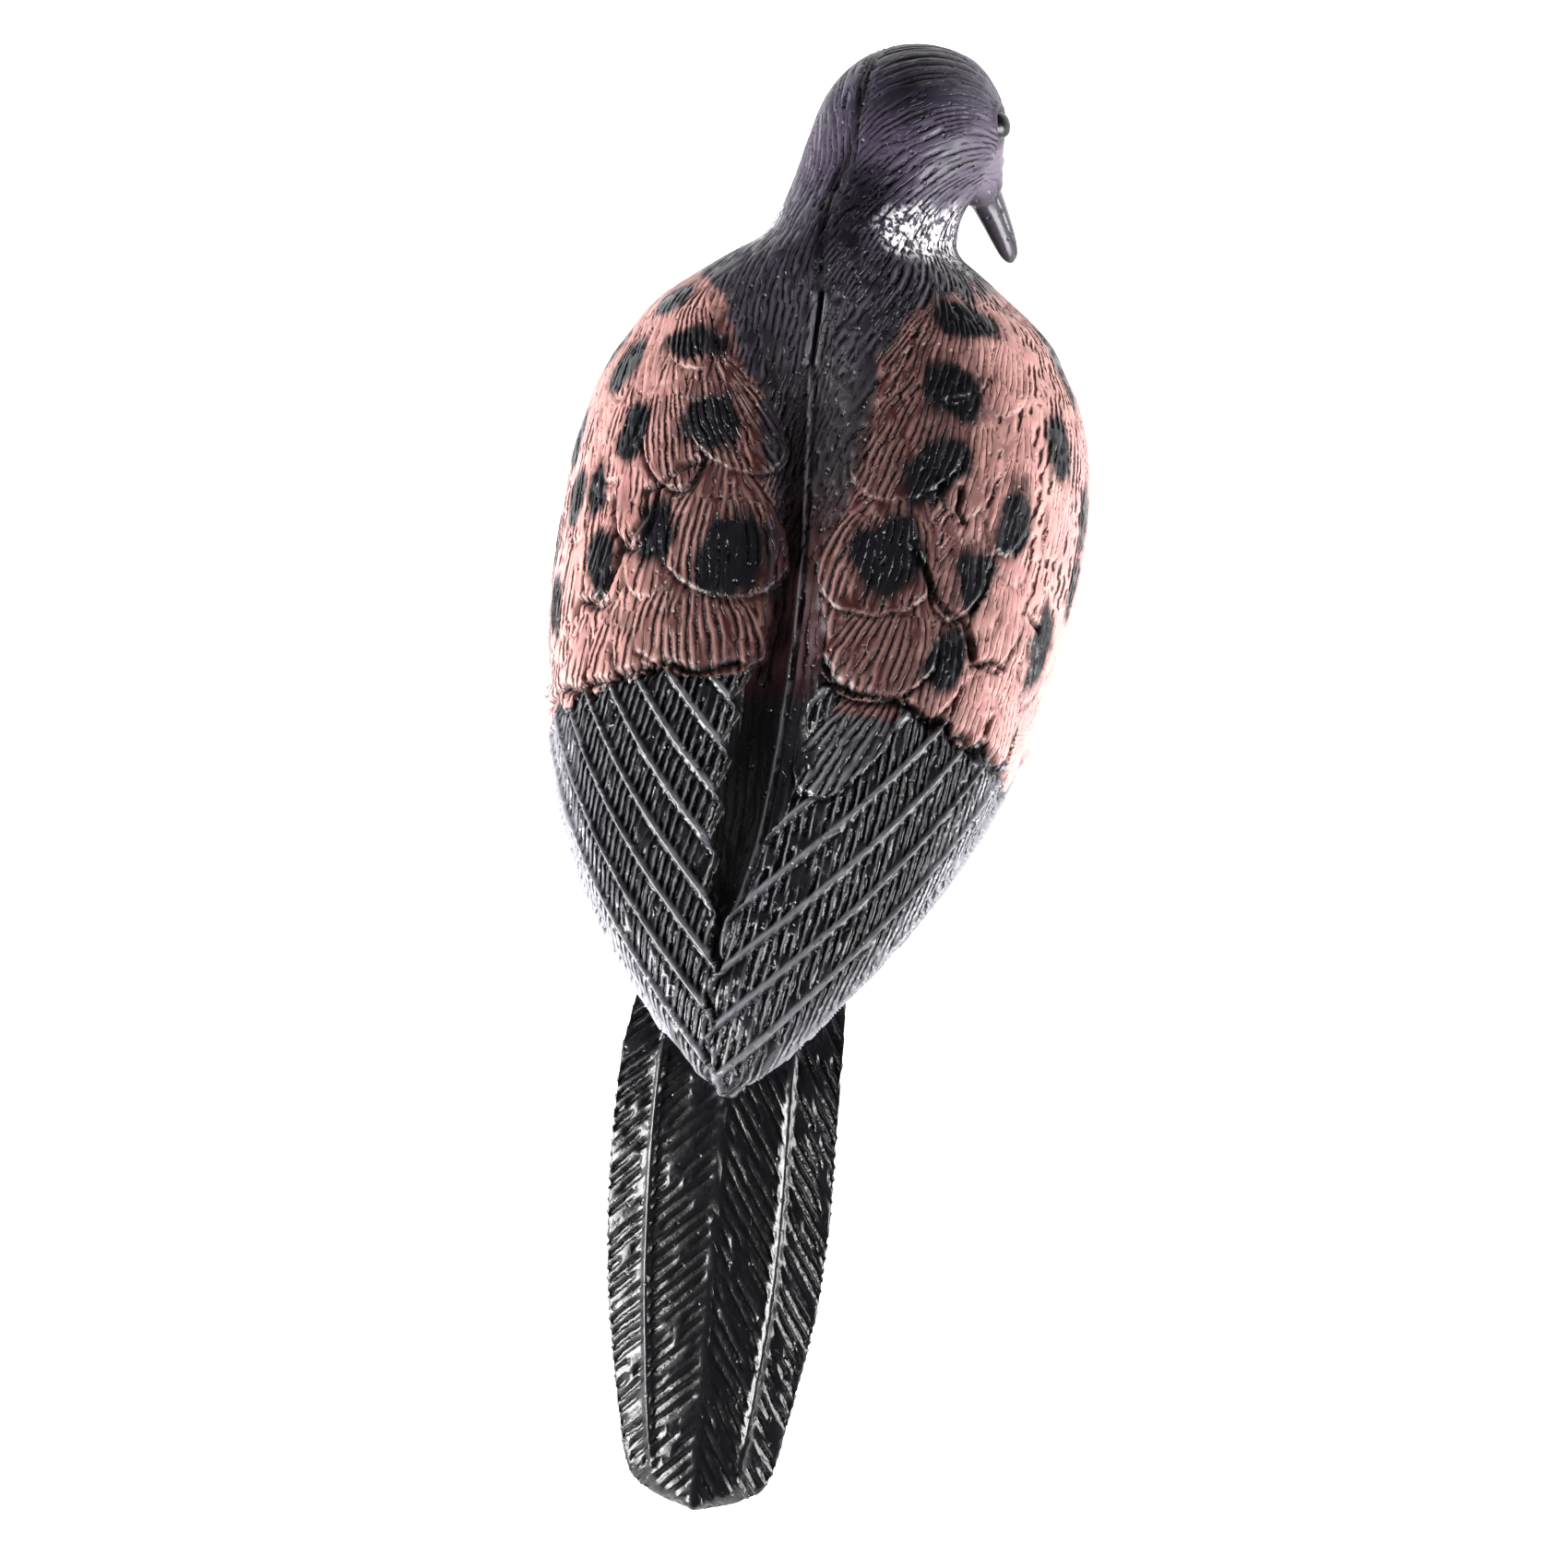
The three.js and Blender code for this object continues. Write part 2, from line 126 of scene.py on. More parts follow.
class DovePaint(bpy.types.PropertyGroup):
    """Paint colours."""

    head: paint("Head", "Purple-grey of head and neck", "#423a4c")
    head_dark: paint("Head dark", "Its darker cloudy patches", "#2f2838")
    # Partly the paint's own darker purple, partly painted shade on the back between the shoulders
    mantle: paint("Mantle", "Darker purple between the shoulders", "#120f17")
    cheek: paint("Cheek", "Lighter grey of cheek and chin", "#6e6474")
    bill: paint("Bill", "Dark grey of the bill", "#37323b")
    # A painted sheen: pale where the flanks and the flights' outer edges catch the light
    dust: paint("Flank dust", "Pale pink overspray along the flanks", "#c9abab")
    # Ridge colours: partly wear, partly painted highlight. The flights' ridge grey also paints the glint
    # on the seam and the sheen along the flights' outer edges.
    covert_crest: paint("Covert ridges", "Pale pink rubbed onto their ridges", "#cfa299")
    flight_crest: paint("Flight ridges", "Grey rubbed onto quills and barbs", "#a09ea6")
    groove: paint("Groove", "What the depth of a groove leaves of the light", "#4f3638")
    # Painted shade between the wings: the valley darkened, reddish where the coverts' spray reached it
    valley: paint("Valley", "Shaded paint between the wings", "#1f191c")
    valley_red: paint("Valley red", "Where the coverts' spray reached it", "#38191b")
    covert: paint("Coverts", "Salmon of the covert feathers", "#a0706c")
    covert_pale: paint("Covert pale", "Its paler cloudy patches", "#b68780")
    # Partly browner paint, partly painted shade towards the mid-line of the back
    covert_shade: paint("Covert shade", "Browner salmon near the back", "#371615")
    spot: paint("Spots", "Blue-black of the spots", "#0b0b11")
    flight: paint("Flight", "Charcoal of the flight feathers", "#1c1b1f")
    tail: paint("Tail", "Black of the tail", "#0a090c")
    fleck: paint("Flecks", "White of the neck patch", "#e9e6ea")
    breast: paint("Breast", "Greyed pink of the underside", "#7b625f")


class StageLook(bpy.types.PropertyGroup):
    """Floor, lights and camera."""

    floor: paint("Floor", "Pale floor", "#f4f3f4")
    glow: number("Glow", "Light that comes through the floor, as on a light table", 1.25)
    photo_width: length("Photo width", "What the photograph's frame takes in at the bird", 0.3308)
    distance: length("Camera distance", "From the bird's back", 4.0)
    stands_right: turn("Stands right", "How far the camera stands to the bird's right of its back", 10)
    roll: turn("Roll", "How far the bird leans in the frame", 6.2)
    side_light: number("Side light", "Watts of each side softbox", 16.0)
    top_light: number("Top light", "Watts of the top softbox", 0.2)
    sky: number("Sky", "Strength of the pale surroundings", 0.06)


def in_mm(group):
    """A property group's lengths as a plain holder of millimetres."""
    values = {}
    for key, kind in group.bl_rna.properties.items():
        value = getattr(group, key)
        if isinstance(value, float):
            values[key] = value if kind.unit == "ROTATION" else value / MM
    return type("Millimetres", (), values)


# Small numeric helpers


def mix(a, b, t):
    """From a at 0 to b at 1."""
    return a + (b - a) * t


def smooth(lo, hi, v):
    """A soft step: 0 up to lo, 1 from hi on; the other way round where lo is the larger."""
    t = np.clip((v - lo) / (hi - lo), 0.0, 1.0)
    return t * t * (3 - 2 * t)


def bump(d, width):
    """A soft ridge: 1 on its line, 0 about two widths away."""
    return np.exp(-((d / width) ** 2))


def profile(*stations):
    """A smooth curve through a few stations (where, value), flat beyond its ends."""
    where, value = (np.array(column, float) for column in zip(*stations))
    before = np.maximum(np.arange(len(where)) - 1, 0)
    after = np.minimum(np.arange(len(where)) + 1, len(where) - 1)
    slope = (value[after] - value[before]) / (where[after] - where[before])

    def curve(at):
        at = np.clip(np.asarray(at, float), where[0], where[-1])
        i = np.clip(np.searchsorted(where, at, side="right") - 1, 0, len(where) - 2)
        span = where[i + 1] - where[i]
        t = (at - where[i]) / span
        rise, fall = slope[i] * span, slope[i + 1] * span
        ease = t * t * (3 - 2 * t)
        return mix(value[i], value[i + 1], ease) + t * (1 - t) * ((1 - t) * rise - t * fall)

    return curve


def chance(i, j, seed):
    """Repeatable random numbers from 0 to 1, one for each pair of whole numbers. The large
    factors scatter their bits."""
    i, j = np.asarray(i, np.int64), np.asarray(j, np.int64)
    h = (i * 374761393 + j * 668265263 + seed * 974711) & 0xFFFFFFFF
    h = ((h ^ (h >> 13)) * 1274126177) & 0xFFFFFFFF
    return ((h ^ (h >> 16)) & 0xFFFFFF) / float(0xFFFFFF)


def noise(u, v, seed=0):
    """Smooth random hills from -1 to 1, one step wide."""
    i, j = np.floor(u), np.floor(v)
    a, b = u - i, v - j
    a, b = a * a * (3 - 2 * a), b * b * (3 - 2 * b)
    i, j = i.astype(np.int64), j.astype(np.int64)
    low = mix(chance(i, j, seed), chance(i + 1, j, seed), a)
    high = mix(chance(i, j + 1, seed), chance(i + 1, j + 1, seed), a)
    return 2 * mix(low, high, b) - 1


def unit(v):
    v = np.asarray(v, float)
    return v / np.linalg.norm(v)


# The bird's form, in its own axes: x to its right, y from tail tip to crown, z to its back,
# in millimetres. Stations are shares of the bird's length, values shares of the size named.

WIDTH = profile(  # of half the body's width
    (0.281, 0.02), (0.304, 0.12), (0.352, 0.405), (0.4, 0.612), (0.463, 0.795), (0.527, 0.91),
    (0.591, 0.98), (0.66, 1), (0.712, 0.99), (0.751, 0.957), (0.783, 0.88), (0.815, 0.705),
    (0.84, 0.52), (0.86, 0.365),
)
MIDDLE = profile(  # height of the widest level, of the body's height
    (0.281, 0.245), (0.35, 0.24), (0.415, 0.19), (0.48, 0.105), (0.543, 0.01), (0.607, -0.075),
    (0.671, -0.155), (0.735, -0.21), (0.8, -0.245), (0.87, -0.23), (0.93, -0.225), (1, -0.27),
)
BACK = profile(  # height of the top of the back
    (0.281, 0.275), (0.35, 0.31), (0.415, 0.3), (0.48, 0.28), (0.543, 0.255), (0.607, 0.225),
    (0.671, 0.195), (0.735, 0.17), (0.8, 0.145), (0.85, 0.115), (0.88, 0.06), (0.92, -0.01),
)
BELLY = profile(  # height of the underside
    (0.281, 0.13), (0.32, 0.02), (0.36, -0.12), (0.415, -0.32), (0.48, -0.51), (0.543, -0.66),
    (0.607, -0.76), (0.671, -0.83), (0.72, -0.85), (0.77, -0.8), (0.81, -0.7), (0.85, -0.56),
    (0.88, -0.45),
)
SPINE = profile((0.8, 0), (0.86, 0.02), (0.885, 0.065), (0.91, 0.135), (0.94, 0.2), (1, 0.235))
TAIL_SLOPE = profile(  # height of the tail's back, of the body's height
    (0, 0.03), (0.03, 0.05), (0.09, 0.1), (0.15, 0.145), (0.21, 0.185), (0.26, 0.215),
    (0.31, 0.225), (0.42, 0.14),
)
TAIL_WIDTH = profile(
    (0, 0), (0.006, 0.28), (0.016, 0.55), (0.03, 0.66), (0.06, 0.75), (0.1, 0.85), (0.15, 0.95),
    (0.22, 1), (0.3, 0.98), (0.34, 0.93), (0.42, 0.8),
)
TAIL_BEND = profile((0, -1.6), (0.05, -1.5), (0.15, -0.9), (0.3, -0.8), (0.4, 0))  # sideways, in mm
SKULL = profile(
    (-0.46, 0), (-0.44, 0.36), (-0.39, 0.62), (-0.28, 0.87), (-0.12, 0.99), (0.06, 1), (0.22, 0.84),
    (0.36, 0.63), (0.47, 0.48), (0.54, 0.42),
)
BILL = profile((0, 1), (0.3, 0.86), (0.62, 0.72), (0.85, 0.55), (0.97, 0.28), (1, 0.05))

WING_TIP = 0.281
SHELL = 2.7  # mm by which the bare body is narrower than the bird with its folded wings
NECK_PINCH = 0.93  # the neck's narrowest width, of its width
TAIL_ROOT = 0.4
RUMP_FROM = 0.24  # from here the tail's blade thickens into the rump
RUMP_THICKENING = 3  # times the tail's thickness
SKULL_BACK = 0.46  # share of the head's length behind its middle
GAZE = unit((0.402, -0.767, -0.5))  # where the bill points
CHEEK = unit(np.cross(GAZE, unit((0.168, 0.599, -0.784))))
CROWN = unit(np.cross(CHEEK, GAZE))
EYE_FORWARD = -1.2  # mm ahead of the skull's middle
EYE_UP = -8.3  # mm above the skull's middle line, so on the round back of the head
CHEEK_SKIN = {-1: 22.1, 1: 16.7}  # mm from the skull's middle plane to the skin, left and right
BILL_DROP = 0.6  # mm that the bill's root lies below the skull's middle line
BILL_HOOK = 1.4  # mm that its tip bends down
CERE_AT = 0.4  # the swellings at its root: share of the head's length ahead of the skull's middle,
CERE_UP = 0.16  # share of its height above that
CERE_APART = 0.42  # and of their own width, to each side


def section(size, y):
    """Half width, widest level, height above and below it, and sideways place of the spine."""
    at = y / size.bird_length
    cap = size.neck_width / 2
    cap_width = np.sqrt(np.maximum(0, cap**2 - np.maximum(0, y - size.bird_length + cap) ** 2))
    torso = WIDTH(at) * size.body_width / 2
    winged = smooth(0.3, 0.36, at) * (1 - smooth(0.78, 0.81, at))
    torso = torso - SHELL * winged
    throat = cap_width * mix(NECK_PINCH, 1, smooth(0.88, 0.93, at))
    half = mix(torso, throat, smooth(0.845, 0.885, at))
    middle = MIDDLE(at) * size.body_height
    up = mix(BACK(at) * size.body_height - middle, cap_width, smooth(0.87, 0.93, at))
    down = mix(middle - BELLY(at) * size.body_height, cap_width, smooth(0.86, 0.92, at))
    return half, middle, up, down, SPINE(at) * size.neck_width


def valley(carving, bird_length, x, y):
    """Dip of the back between the two folded wings."""
    at = y / bird_length
    between = smooth(0.4, 0.52, at) * (1 - smooth(0.74, 0.86, at))
    return carving.valley_depth * between * bump(x, carving.valley_width)


def body_rings(size, carving):
    """Torso, neck and round back of the head."""
    start, end = WING_TIP * size.bird_length, size.bird_length
    t = np.linspace(0, 1, 120)
    y = mix(start, end, mix(t, (1 - np.cos(np.pi * t)) / 2, 0.5))
    y = np.clip(y, start + 0.2, end - 0.03)[:, None]
    angle = np.linspace(0, 2 * np.pi, 144, endpoint=False)[None, :]
    half, middle, up, down, spine = section(size, y)
    x = half * np.cos(angle)
    round_ = np.sin(angle)
    dip = np.where(round_ > 0, valley(carving, size.bird_length, x, y), 0)
    z = middle + np.where(round_ > 0, up, down) * round_ - dip
    return np.stack([x + spine, y + 0 * x, z], axis=-1)


def tail_rings(size):
    """A crowned blade that runs into the rump, with a round end."""
    at = np.linspace(0.0006, TAIL_ROOT, 90)[:, None]
    u = np.concatenate([np.linspace(-1, 1, 41), np.linspace(1, -1, 41)[1:-1]])[None, :]
    lower = np.arange(u.shape[1])[None, :] > 40
    sharp = 1 - u**8
    rump = RUMP_THICKENING * smooth(RUMP_FROM, TAIL_ROOT, at)
    thick = size.tail_thickness * (np.minimum(1, 0.4 + at * 10) + rump)
    top = TAIL_SLOPE(at) * size.body_height - size.tail_crown * u**2
    bottom = top - size.tail_edge * sharp - (thick - size.tail_edge) * (1 - u**2)
    x = TAIL_WIDTH(at) * size.tail_width / 2 * u + TAIL_BEND(at)
    return np.stack([x, at * size.bird_length + 0 * u, np.where(lower, bottom, top)], axis=-1)


def head_origin(size):
    return np.array((0.37 * size.neck_width, 0.95 * size.bird_length, -0.36 * size.body_height))


def head_point(size, forward, right, up):
    """A place on the head: forward to the bill, right to its right cheek, up to its crown."""
    forward, right, up = (np.asarray(v, float)[..., None] for v in (forward, right, up))
    return head_origin(size) + forward * GAZE + right * CHEEK + up * CROWN


def head_rings(size):
    """The skull, tapering into the bill."""
    turn = np.linspace(0, 2 * np.pi, 48, endpoint=False)[None, :]
    at = np.linspace(-SKULL_BACK + 0.002, 1 - SKULL_BACK, 46)[:, None]
    drop = BILL_DROP * smooth(0.1, 1 - SKULL_BACK, at)
    wide, tall = SKULL(at) * size.head_width / 2, SKULL(at) * size.head_height / 2
    forward = at * size.head_length + 0 * turn
    skull = head_point(size, forward, wide * np.cos(turn), tall * np.sin(turn) - drop)
    t = np.linspace(0.06, 1, 30)[:, None]
    wide, tall = BILL(t) * size.bill_width / 2, BILL(t) * size.bill_height / 2
    forward = (1 - SKULL_BACK) * size.head_length + t * size.bill_length
    drop = BILL_DROP + BILL_HOOK * t * t
    bill = head_point(size, forward + 0 * turn, wide * np.cos(turn), tall * np.sin(turn) - drop)
    return np.concatenate([skull, bill])


def deselect():
    """So that the next operator acts on nothing by mistake."""
    for thing in bpy.context.selected_objects:
        thing.select_set(False)


def new_mesh(name, points, faces):
    """A mesh object, made the active and only selected one."""
    mesh = bpy.data.meshes.new(name)
    mesh.from_pydata(points, [], faces)
    thing = bpy.data.objects.new(name, mesh)
    bpy.context.scene.collection.objects.link(thing)
    deselect()
    thing.select_set(True)
    bpy.context.view_layer.objects.active = thing
    return thing


def loft(name, rings):
    """A closed skin over rings of points, its ends closed by their middles."""
    count, around = rings.shape[:2]
    i, j = np.meshgrid(np.arange(count - 1), np.arange(around), indexing="ij")
    k = (j + 1) % around
    sides = np.stack([i * around + j, i * around + k, (i + 1) * around + k, (i + 1) * around + j], -1)
    points = rings.reshape(-1, 3)
    ends = [rings[0].mean(0), rings[-1].mean(0)]
    first, last = len(points), len(points) + 1
    ring = np.arange(around)
    after = (ring + 1) % around
    base = (count - 1) * around
    near = [(int(b), int(a), first) for a, b in zip(ring, after)]
    far = [(int(base + a), int(base + b), last) for a, b in zip(ring, after)]
    faces = [tuple(map(int, face)) for face in sides.reshape(-1, 4)] + near + far
    made = new_mesh(name, np.concatenate([points, ends]).tolist(), faces)
    bpy.ops.object.mode_set(mode="EDIT")
    bpy.ops.mesh.select_all(action="SELECT")
    bpy.ops.mesh.remove_doubles(threshold=1e-4)
    bpy.ops.mesh.normals_make_consistent(inside=False)
    bpy.ops.object.mode_set(mode="OBJECT")
    return made


def ball(name, middle, radius):
    """A round swelling, as an eye or a cere half."""
    deselect()
    bpy.ops.mesh.primitive_uv_sphere_add(
        segments=40, ring_count=24, radius=radius, location=tuple(middle)
    )
    made = bpy.context.object
    made.name = name
    bpy.ops.object.transform_apply(location=True, rotation=False, scale=False)
    return made


def raw_form(size, carving):
    """All forms of the bird, overlapping, as one mesh in millimetres."""
    parts = [
        loft("torso", body_rings(size, carving)),
        loft("tail", tail_rings(size)),
        loft("head", head_rings(size)),
    ]
    eye_radius = ((size.eye_diameter / 2) ** 2 + size.eye_bulge**2) / (2 * size.eye_bulge)
    for side in (-1, 1):
        out = CHEEK_SKIN[side] + size.eye_bulge - eye_radius
        parts.append(ball("eye", head_point(size, EYE_FORWARD, side * out, EYE_UP), eye_radius))
        apart = side * CERE_APART * size.cere_width
        cere = head_point(size, CERE_AT * size.head_length, apart, CERE_UP * size.head_height)
        parts.append(ball("cere", cere, size.cere_width / 2))
    deselect()
    for part in parts:
        part.select_set(True)
    bpy.context.view_layer.objects.active = parts[0]
    bpy.ops.object.join()
    return bpy.context.object


def apply_modifier(thing, name, kind, **settings):
    """Adds a modifier with its settings and applies it."""
    modifier = thing.modifiers.new(name, kind)
    for key, value in settings.items():
        setattr(modifier, key, value)
    bpy.context.view_layer.objects.active = thing
    bpy.ops.object.modifier_apply(modifier=name)


def read_points(thing):
    flat = np.empty(len(thing.data.vertices) * 3)
    thing.data.vertices.foreach_get("co", flat)
    return flat.reshape(-1, 3)


def write_points(thing, points):
    thing.data.vertices.foreach_set("co", np.ascontiguousarray(points, float).ravel())
    thing.data.update()


# Where a point lies on the bird

TORSO, TAIL, HEAD = range(3)


class Place:
    """Named arrays that say where each of many points lies on the bird."""

    def take(self, rows):
        """The same arrays for some of the points."""
        picked = Place()
        for name, values in vars(self).items():
            setattr(picked, name, values[rows])
        return picked


def locate(size, carving, points):
    """Where each point lies on the body, the tail and the head, and which of them it is part of:
    share along the bird, across (0 on the mid-line of the back, 1 at the widest level, 2 under
    the belly), arc (the same in mm over the skin), and the like for tail and head."""
    at = Place()
    at.points = points
    at.x, at.y, at.z = points.T
    at.share = at.y / size.bird_length
    half, middle, up, down, spine = section(size, at.y)
    half = np.maximum(half, 0.6)
    at.dx = at.x - spine
    rise = at.z - middle
    rise = rise + np.where(rise > -4, valley(carving, size.bird_length, at.dx, at.y), 0)
    tall = np.maximum(np.where(rise > 0, up, down), 0.6)
    across = 1 - np.arctan2(rise / tall, at.dx / half) * 2 / np.pi
    at.across = np.where(across > 2, across - 4, across)
    off_body = np.abs(np.hypot(at.dx / half, rise / tall) - 1) * np.minimum(half, tall)
    at.quarter = np.pi / 4 * (3 * (half + up) - np.sqrt((3 * half + up) * (half + 3 * up)))
    at.arc = at.across * at.quarter

    top = TAIL_SLOPE(at.share) * size.body_height
    at.tail_half = np.maximum(TAIL_WIDTH(at.share) * size.tail_width / 2, 0.5)
    at.tail_x = at.x - TAIL_BEND(at.share)
    at.tail_across = at.tail_x / at.tail_half
    top = top - size.tail_crown * np.clip(at.tail_across, -1, 1) ** 2
    rump = RUMP_THICKENING * smooth(RUMP_FROM, TAIL_ROOT, at.share)
    thick = size.tail_thickness * (1 + rump) * (1 - at.tail_across**2)
    at.below_tail = top - at.z
    side = np.abs(at.tail_x) - at.tail_half
    under = top - np.maximum(size.tail_edge, thick)
    off_tail = np.abs(np.maximum(np.maximum(at.z - top, under - at.z), side))

    away = points - head_origin(size)
    at.forward, at.right, at.up = away @ GAZE, away @ CHEEK, away @ CROWN
    share = np.maximum(SKULL(at.forward / size.head_length), 0.1)
    at.up = at.up + BILL_DROP * smooth(0.1, 1 - SKULL_BACK, at.forward / size.head_length)
    wide, high = share * size.head_width / 2, share * size.head_height / 2
    off_head = np.abs(np.hypot(at.right / wide, at.up / high) - 1) * wide
    root = size.head_length * (1 - SKULL_BACK)
    t = (at.forward - root) / size.bill_length
    beak = np.hypot(at.right, at.up + BILL_HOOK * t * t) - BILL(t) * size.bill_height / 2
    off_head = np.where(t > 0, np.maximum(beak, 0) + 20 * np.maximum(t - 1.1, 0), off_head)
    at.bill = smooth(-4, 0.5, at.forward - root) * (off_head < 3) * (off_body > 1.5)

    at.part = np.full(len(points), TORSO)
    at.part[(at.share < WING_TIP) | ((at.share < 0.42) & (off_tail < off_body))] = TAIL
    at.part[(at.share > 0.76) & (off_head < off_body) & (off_head < 3)] = HEAD
    at.off_body, at.off_head = off_body, off_head
    at.side = np.where(at.x >= 0, 1, -1)
    at.side[at.share < 0.46] = np.where(at.x >= SEAM(at.share), 1, -1)[at.share < 0.46]
    return at


# The carving, read off the photograph. The folded wings: where each one's inner edge
# lies from the mid-line, in mm
WING_INNER = {
    -1: profile(
        (0.285, 2), (0.33, 3.7), (0.37, 3.9), (0.39, 5.1), (0.441, 7.9), (0.489, 8.5), (0.546, 7.7),
        (0.585, 3.7), (0.623, 3.7), (0.677, 4.7), (0.741, 8.2), (0.805, 17.7), (0.83, 26),
    ),
    1: profile(
        (0.285, -2.5), (0.33, -3.7), (0.37, -3.9), (0.399, -1.9), (0.438, 2.4), (0.463, 4.5),
        (0.495, 8.2), (0.565, 9.4), (0.591, 10.4), (0.626, 6.8), (0.652, 8.2), (0.716, 13.7),
        (0.78, 15.1), (0.83, 24),
    ),
}
WING_OUTER = profile((0.29, 1), (0.4, 1.04), (0.5, 1.16), (0.6, 1.3), (0.7, 1.34), (0.8, 1.15))
COVERT_REAR = profile(  # where the coverts end: mm from the tail tip, by mm of arc from the mid-line
    (0, 180), (11, 176), (21, 175), (32, 171), (46, 166), (58, 162), (75, 153), (100, 140)
)
SEAM = profile(  # sideways place of the mould's parting line, in mm from the spine
    (0, 0), (0.24, 0), (0.287, -1.2), (0.33, -3.6), (0.385, -3.4), (0.42, -0.2), (0.46, 1.6),
    (0.52, 2.5), (0.585, 2.9), (0.647, 2.1), (0.709, 0.5), (0.773, -1), (0.82, -0.8), (0.86, -3),
    (0.898, -6), (0.926, -7.2), (0.98, -9),
)
GATE = (243.5, 258.0)  # mm from the tail tip, the stub on the nape where the mould was filled

# Covert feathers of each wing: root and tip (share across, mm from the tail tip), half width in
# mm, and how deep the gap under the tip is
COVERTS = {
    -1: [
        ((-0.24, 198), (-0.21, 174.5), 12.1, 0.9), ((-0.38, 192), (-0.41, 172.5), 4.9, 1.4),
        ((-0.46, 188.5), (-0.54, 169.5), 4.3, 1.5), ((-0.59, 185), (-0.71, 165), 4.2, 1.4),
        ((-0.76, 180), (-0.88, 161), 4.4, 1.2), ((-0.19, 219), (-0.16, 192), 11.7, 0.7),
        ((-0.49, 210), (-0.55, 187.5), 5.8, 1.5), ((-0.37, 210), (-0.39, 190.5), 5.0, 0.4),
        ((-0.69, 206), (-0.73, 181), 4.2, 0.7), ((-0.3, 243), (-0.13, 218.5), 9.6, 0.7),
        ((-0.43, 240), (-0.32, 213.5), 6.8, 2.0), ((-0.47, 231), (-0.44, 201), 5.4, 2.2),
        ((-0.56, 235), (-0.55, 214), 4.6, 0.6), ((-0.72, 228), (-0.69, 200), 4.6, 0.5),
        ((-0.51, 257), (-0.36, 239.5), 7.2, 0.5), ((-0.7, 251), (-0.62, 232), 5.2, 0.4),
    ],
    1: [
        ((0.31, 198), (0.26, 173.5), 9.6, 1.8), ((0.44, 194), (0.45, 171.5), 5.2, 2.0),
        ((0.6, 187), (0.61, 166), 4.6, 1.8), ((0.73, 182), (0.8, 162.5), 4.4, 1.4),
        ((0.9, 178), (0.98, 158), 4.6, 1.0), ((0.26, 219), (0.22, 191.5), 11.0, 0.8),
        ((0.47, 215), (0.44, 192), 5.4, 2.0), ((0.61, 206), (0.61, 183), 5.8, 1.3),
        ((0.79, 201), (0.83, 177), 4.9, 0.8), ((0.35, 245), (0.23, 216), 10.2, 0.6),
        ((0.49, 240), (0.43, 213.5), 5.4, 0.7), ((0.63, 234), (0.57, 207), 5.2, 0.6),
        ((0.82, 233), (0.78, 207), 4.8, 0.5), ((0.51, 261), (0.37, 239), 9.4, 0.3),
        ((0.71, 258), (0.55, 236), 5.8, 0.4),
        ((0.33, 181), (0.17, 152.5), 6.6, 1.3),
    ],
}
# Cracks where coverts stand off: half width in mm, and runs of (share across, mm from the tail tip)
CRACKS = [
    (1.0, [(-0.1, 179), (-0.186, 176.2), (-0.24, 176), (-0.286, 177.5), (-0.33, 175), (-0.374, 175.5),
           (-0.46, 172.2), (-0.552, 171.5), (-0.64, 169), (-0.72, 170), (-0.85, 166.5), (-1.0, 166)]),
    (1.1, [(0.126, 181.5), (0.16, 177), (0.222, 175), (0.3, 174.6), (0.362, 173.8), (0.427, 172.2),
           (0.46, 169.8), (0.502, 171), (0.56, 167.8), (0.595, 168.5), (0.66, 165), (0.692, 167),
           (0.8, 163), (0.92, 161)]),
    (0.7, [(-0.27, 220.2), (-0.31, 218), (-0.36, 214.5), (-0.41, 212.8), (-0.4, 207.8), (-0.45, 201.8)]),
    (0.6, [(-0.47, 200), (-0.48, 196), (-0.51, 190.2), (-0.57, 188), (-0.63, 188.2), (-0.66, 184)]),
    (0.7, [(0.31, 206.2), (0.35, 202.8), (0.37, 199.8), (0.4, 196), (0.43, 194), (0.49, 192.2),
           (0.53, 187.5), (0.55, 183.2), (0.62, 184.8), (0.67, 183.5)]),
    (0.6, [(0.72, 195.5), (0.78, 192.5)]),
    (0.6, [(0.42, 220.5), (0.42, 215.5), (0.44, 213)]),
]
# Spots: share across, mm from the tail tip, half width and half length in mm
SPOTS = [
    (-0.4, 245, 6.5, 2.6), (-0.25, 229, 4.6, 5.2), (-0.65, 239, 3.6, 5.0), (-0.5, 224.6, 3.4, 5.0),
    (-0.72, 210, 3.0, 5.0), (-0.15, 201.5, 4.6, 7.5), (-0.36, 204, 3.6, 5.2), (-0.55, 197, 3.2, 5.2),
    (-0.61, 212, 2.6, 4.6), (-0.79, 187, 3.0, 5.0), (-0.83, 222, 3.0, 5.0), (-0.9, 200, 3.0, 5.0),
    (-0.62, 254, 5.0, 3.0), (-0.85, 243, 3.0, 4.0),
    (0.52, 256, 7.0, 3.4), (0.41, 240.5, 5.6, 5.6), (0.33, 222.5, 4.8, 5.4), (0.26, 204, 5.0, 6.6),
    (1.0, 248, 3.2, 7.0), (0.79, 230.5, 3.8, 6.4), (0.61, 215, 3.6, 6.4), (0.5, 200.5, 3.4, 5.2),
    (1.0, 217.5, 3.2, 5.6), (0.46, 183.5, 3.2, 5.6), (0.83, 189.5, 3.4, 7.0), (1.0, 202, 3.2, 5.0),
    (0.4, 226, 2.6, 3.6),
]

# Zones of the carving; each covert has its own, from FIRST_FEATHER on
PLUMAGE, VALLEY, FLIGHT_LEFT, FLIGHT_RIGHT, TAIL_ZONE, HEAD_ZONE, BARE = range(7)
FLIGHTS = {-1: FLIGHT_LEFT, 1: FLIGHT_RIGHT}
FIRST_FEATHER = 10
WING_LINES = 36  # grooves from the mid-line to the widest level, where the wing is broadest
WING_GIRTH = 58.0  # mm over that stretch

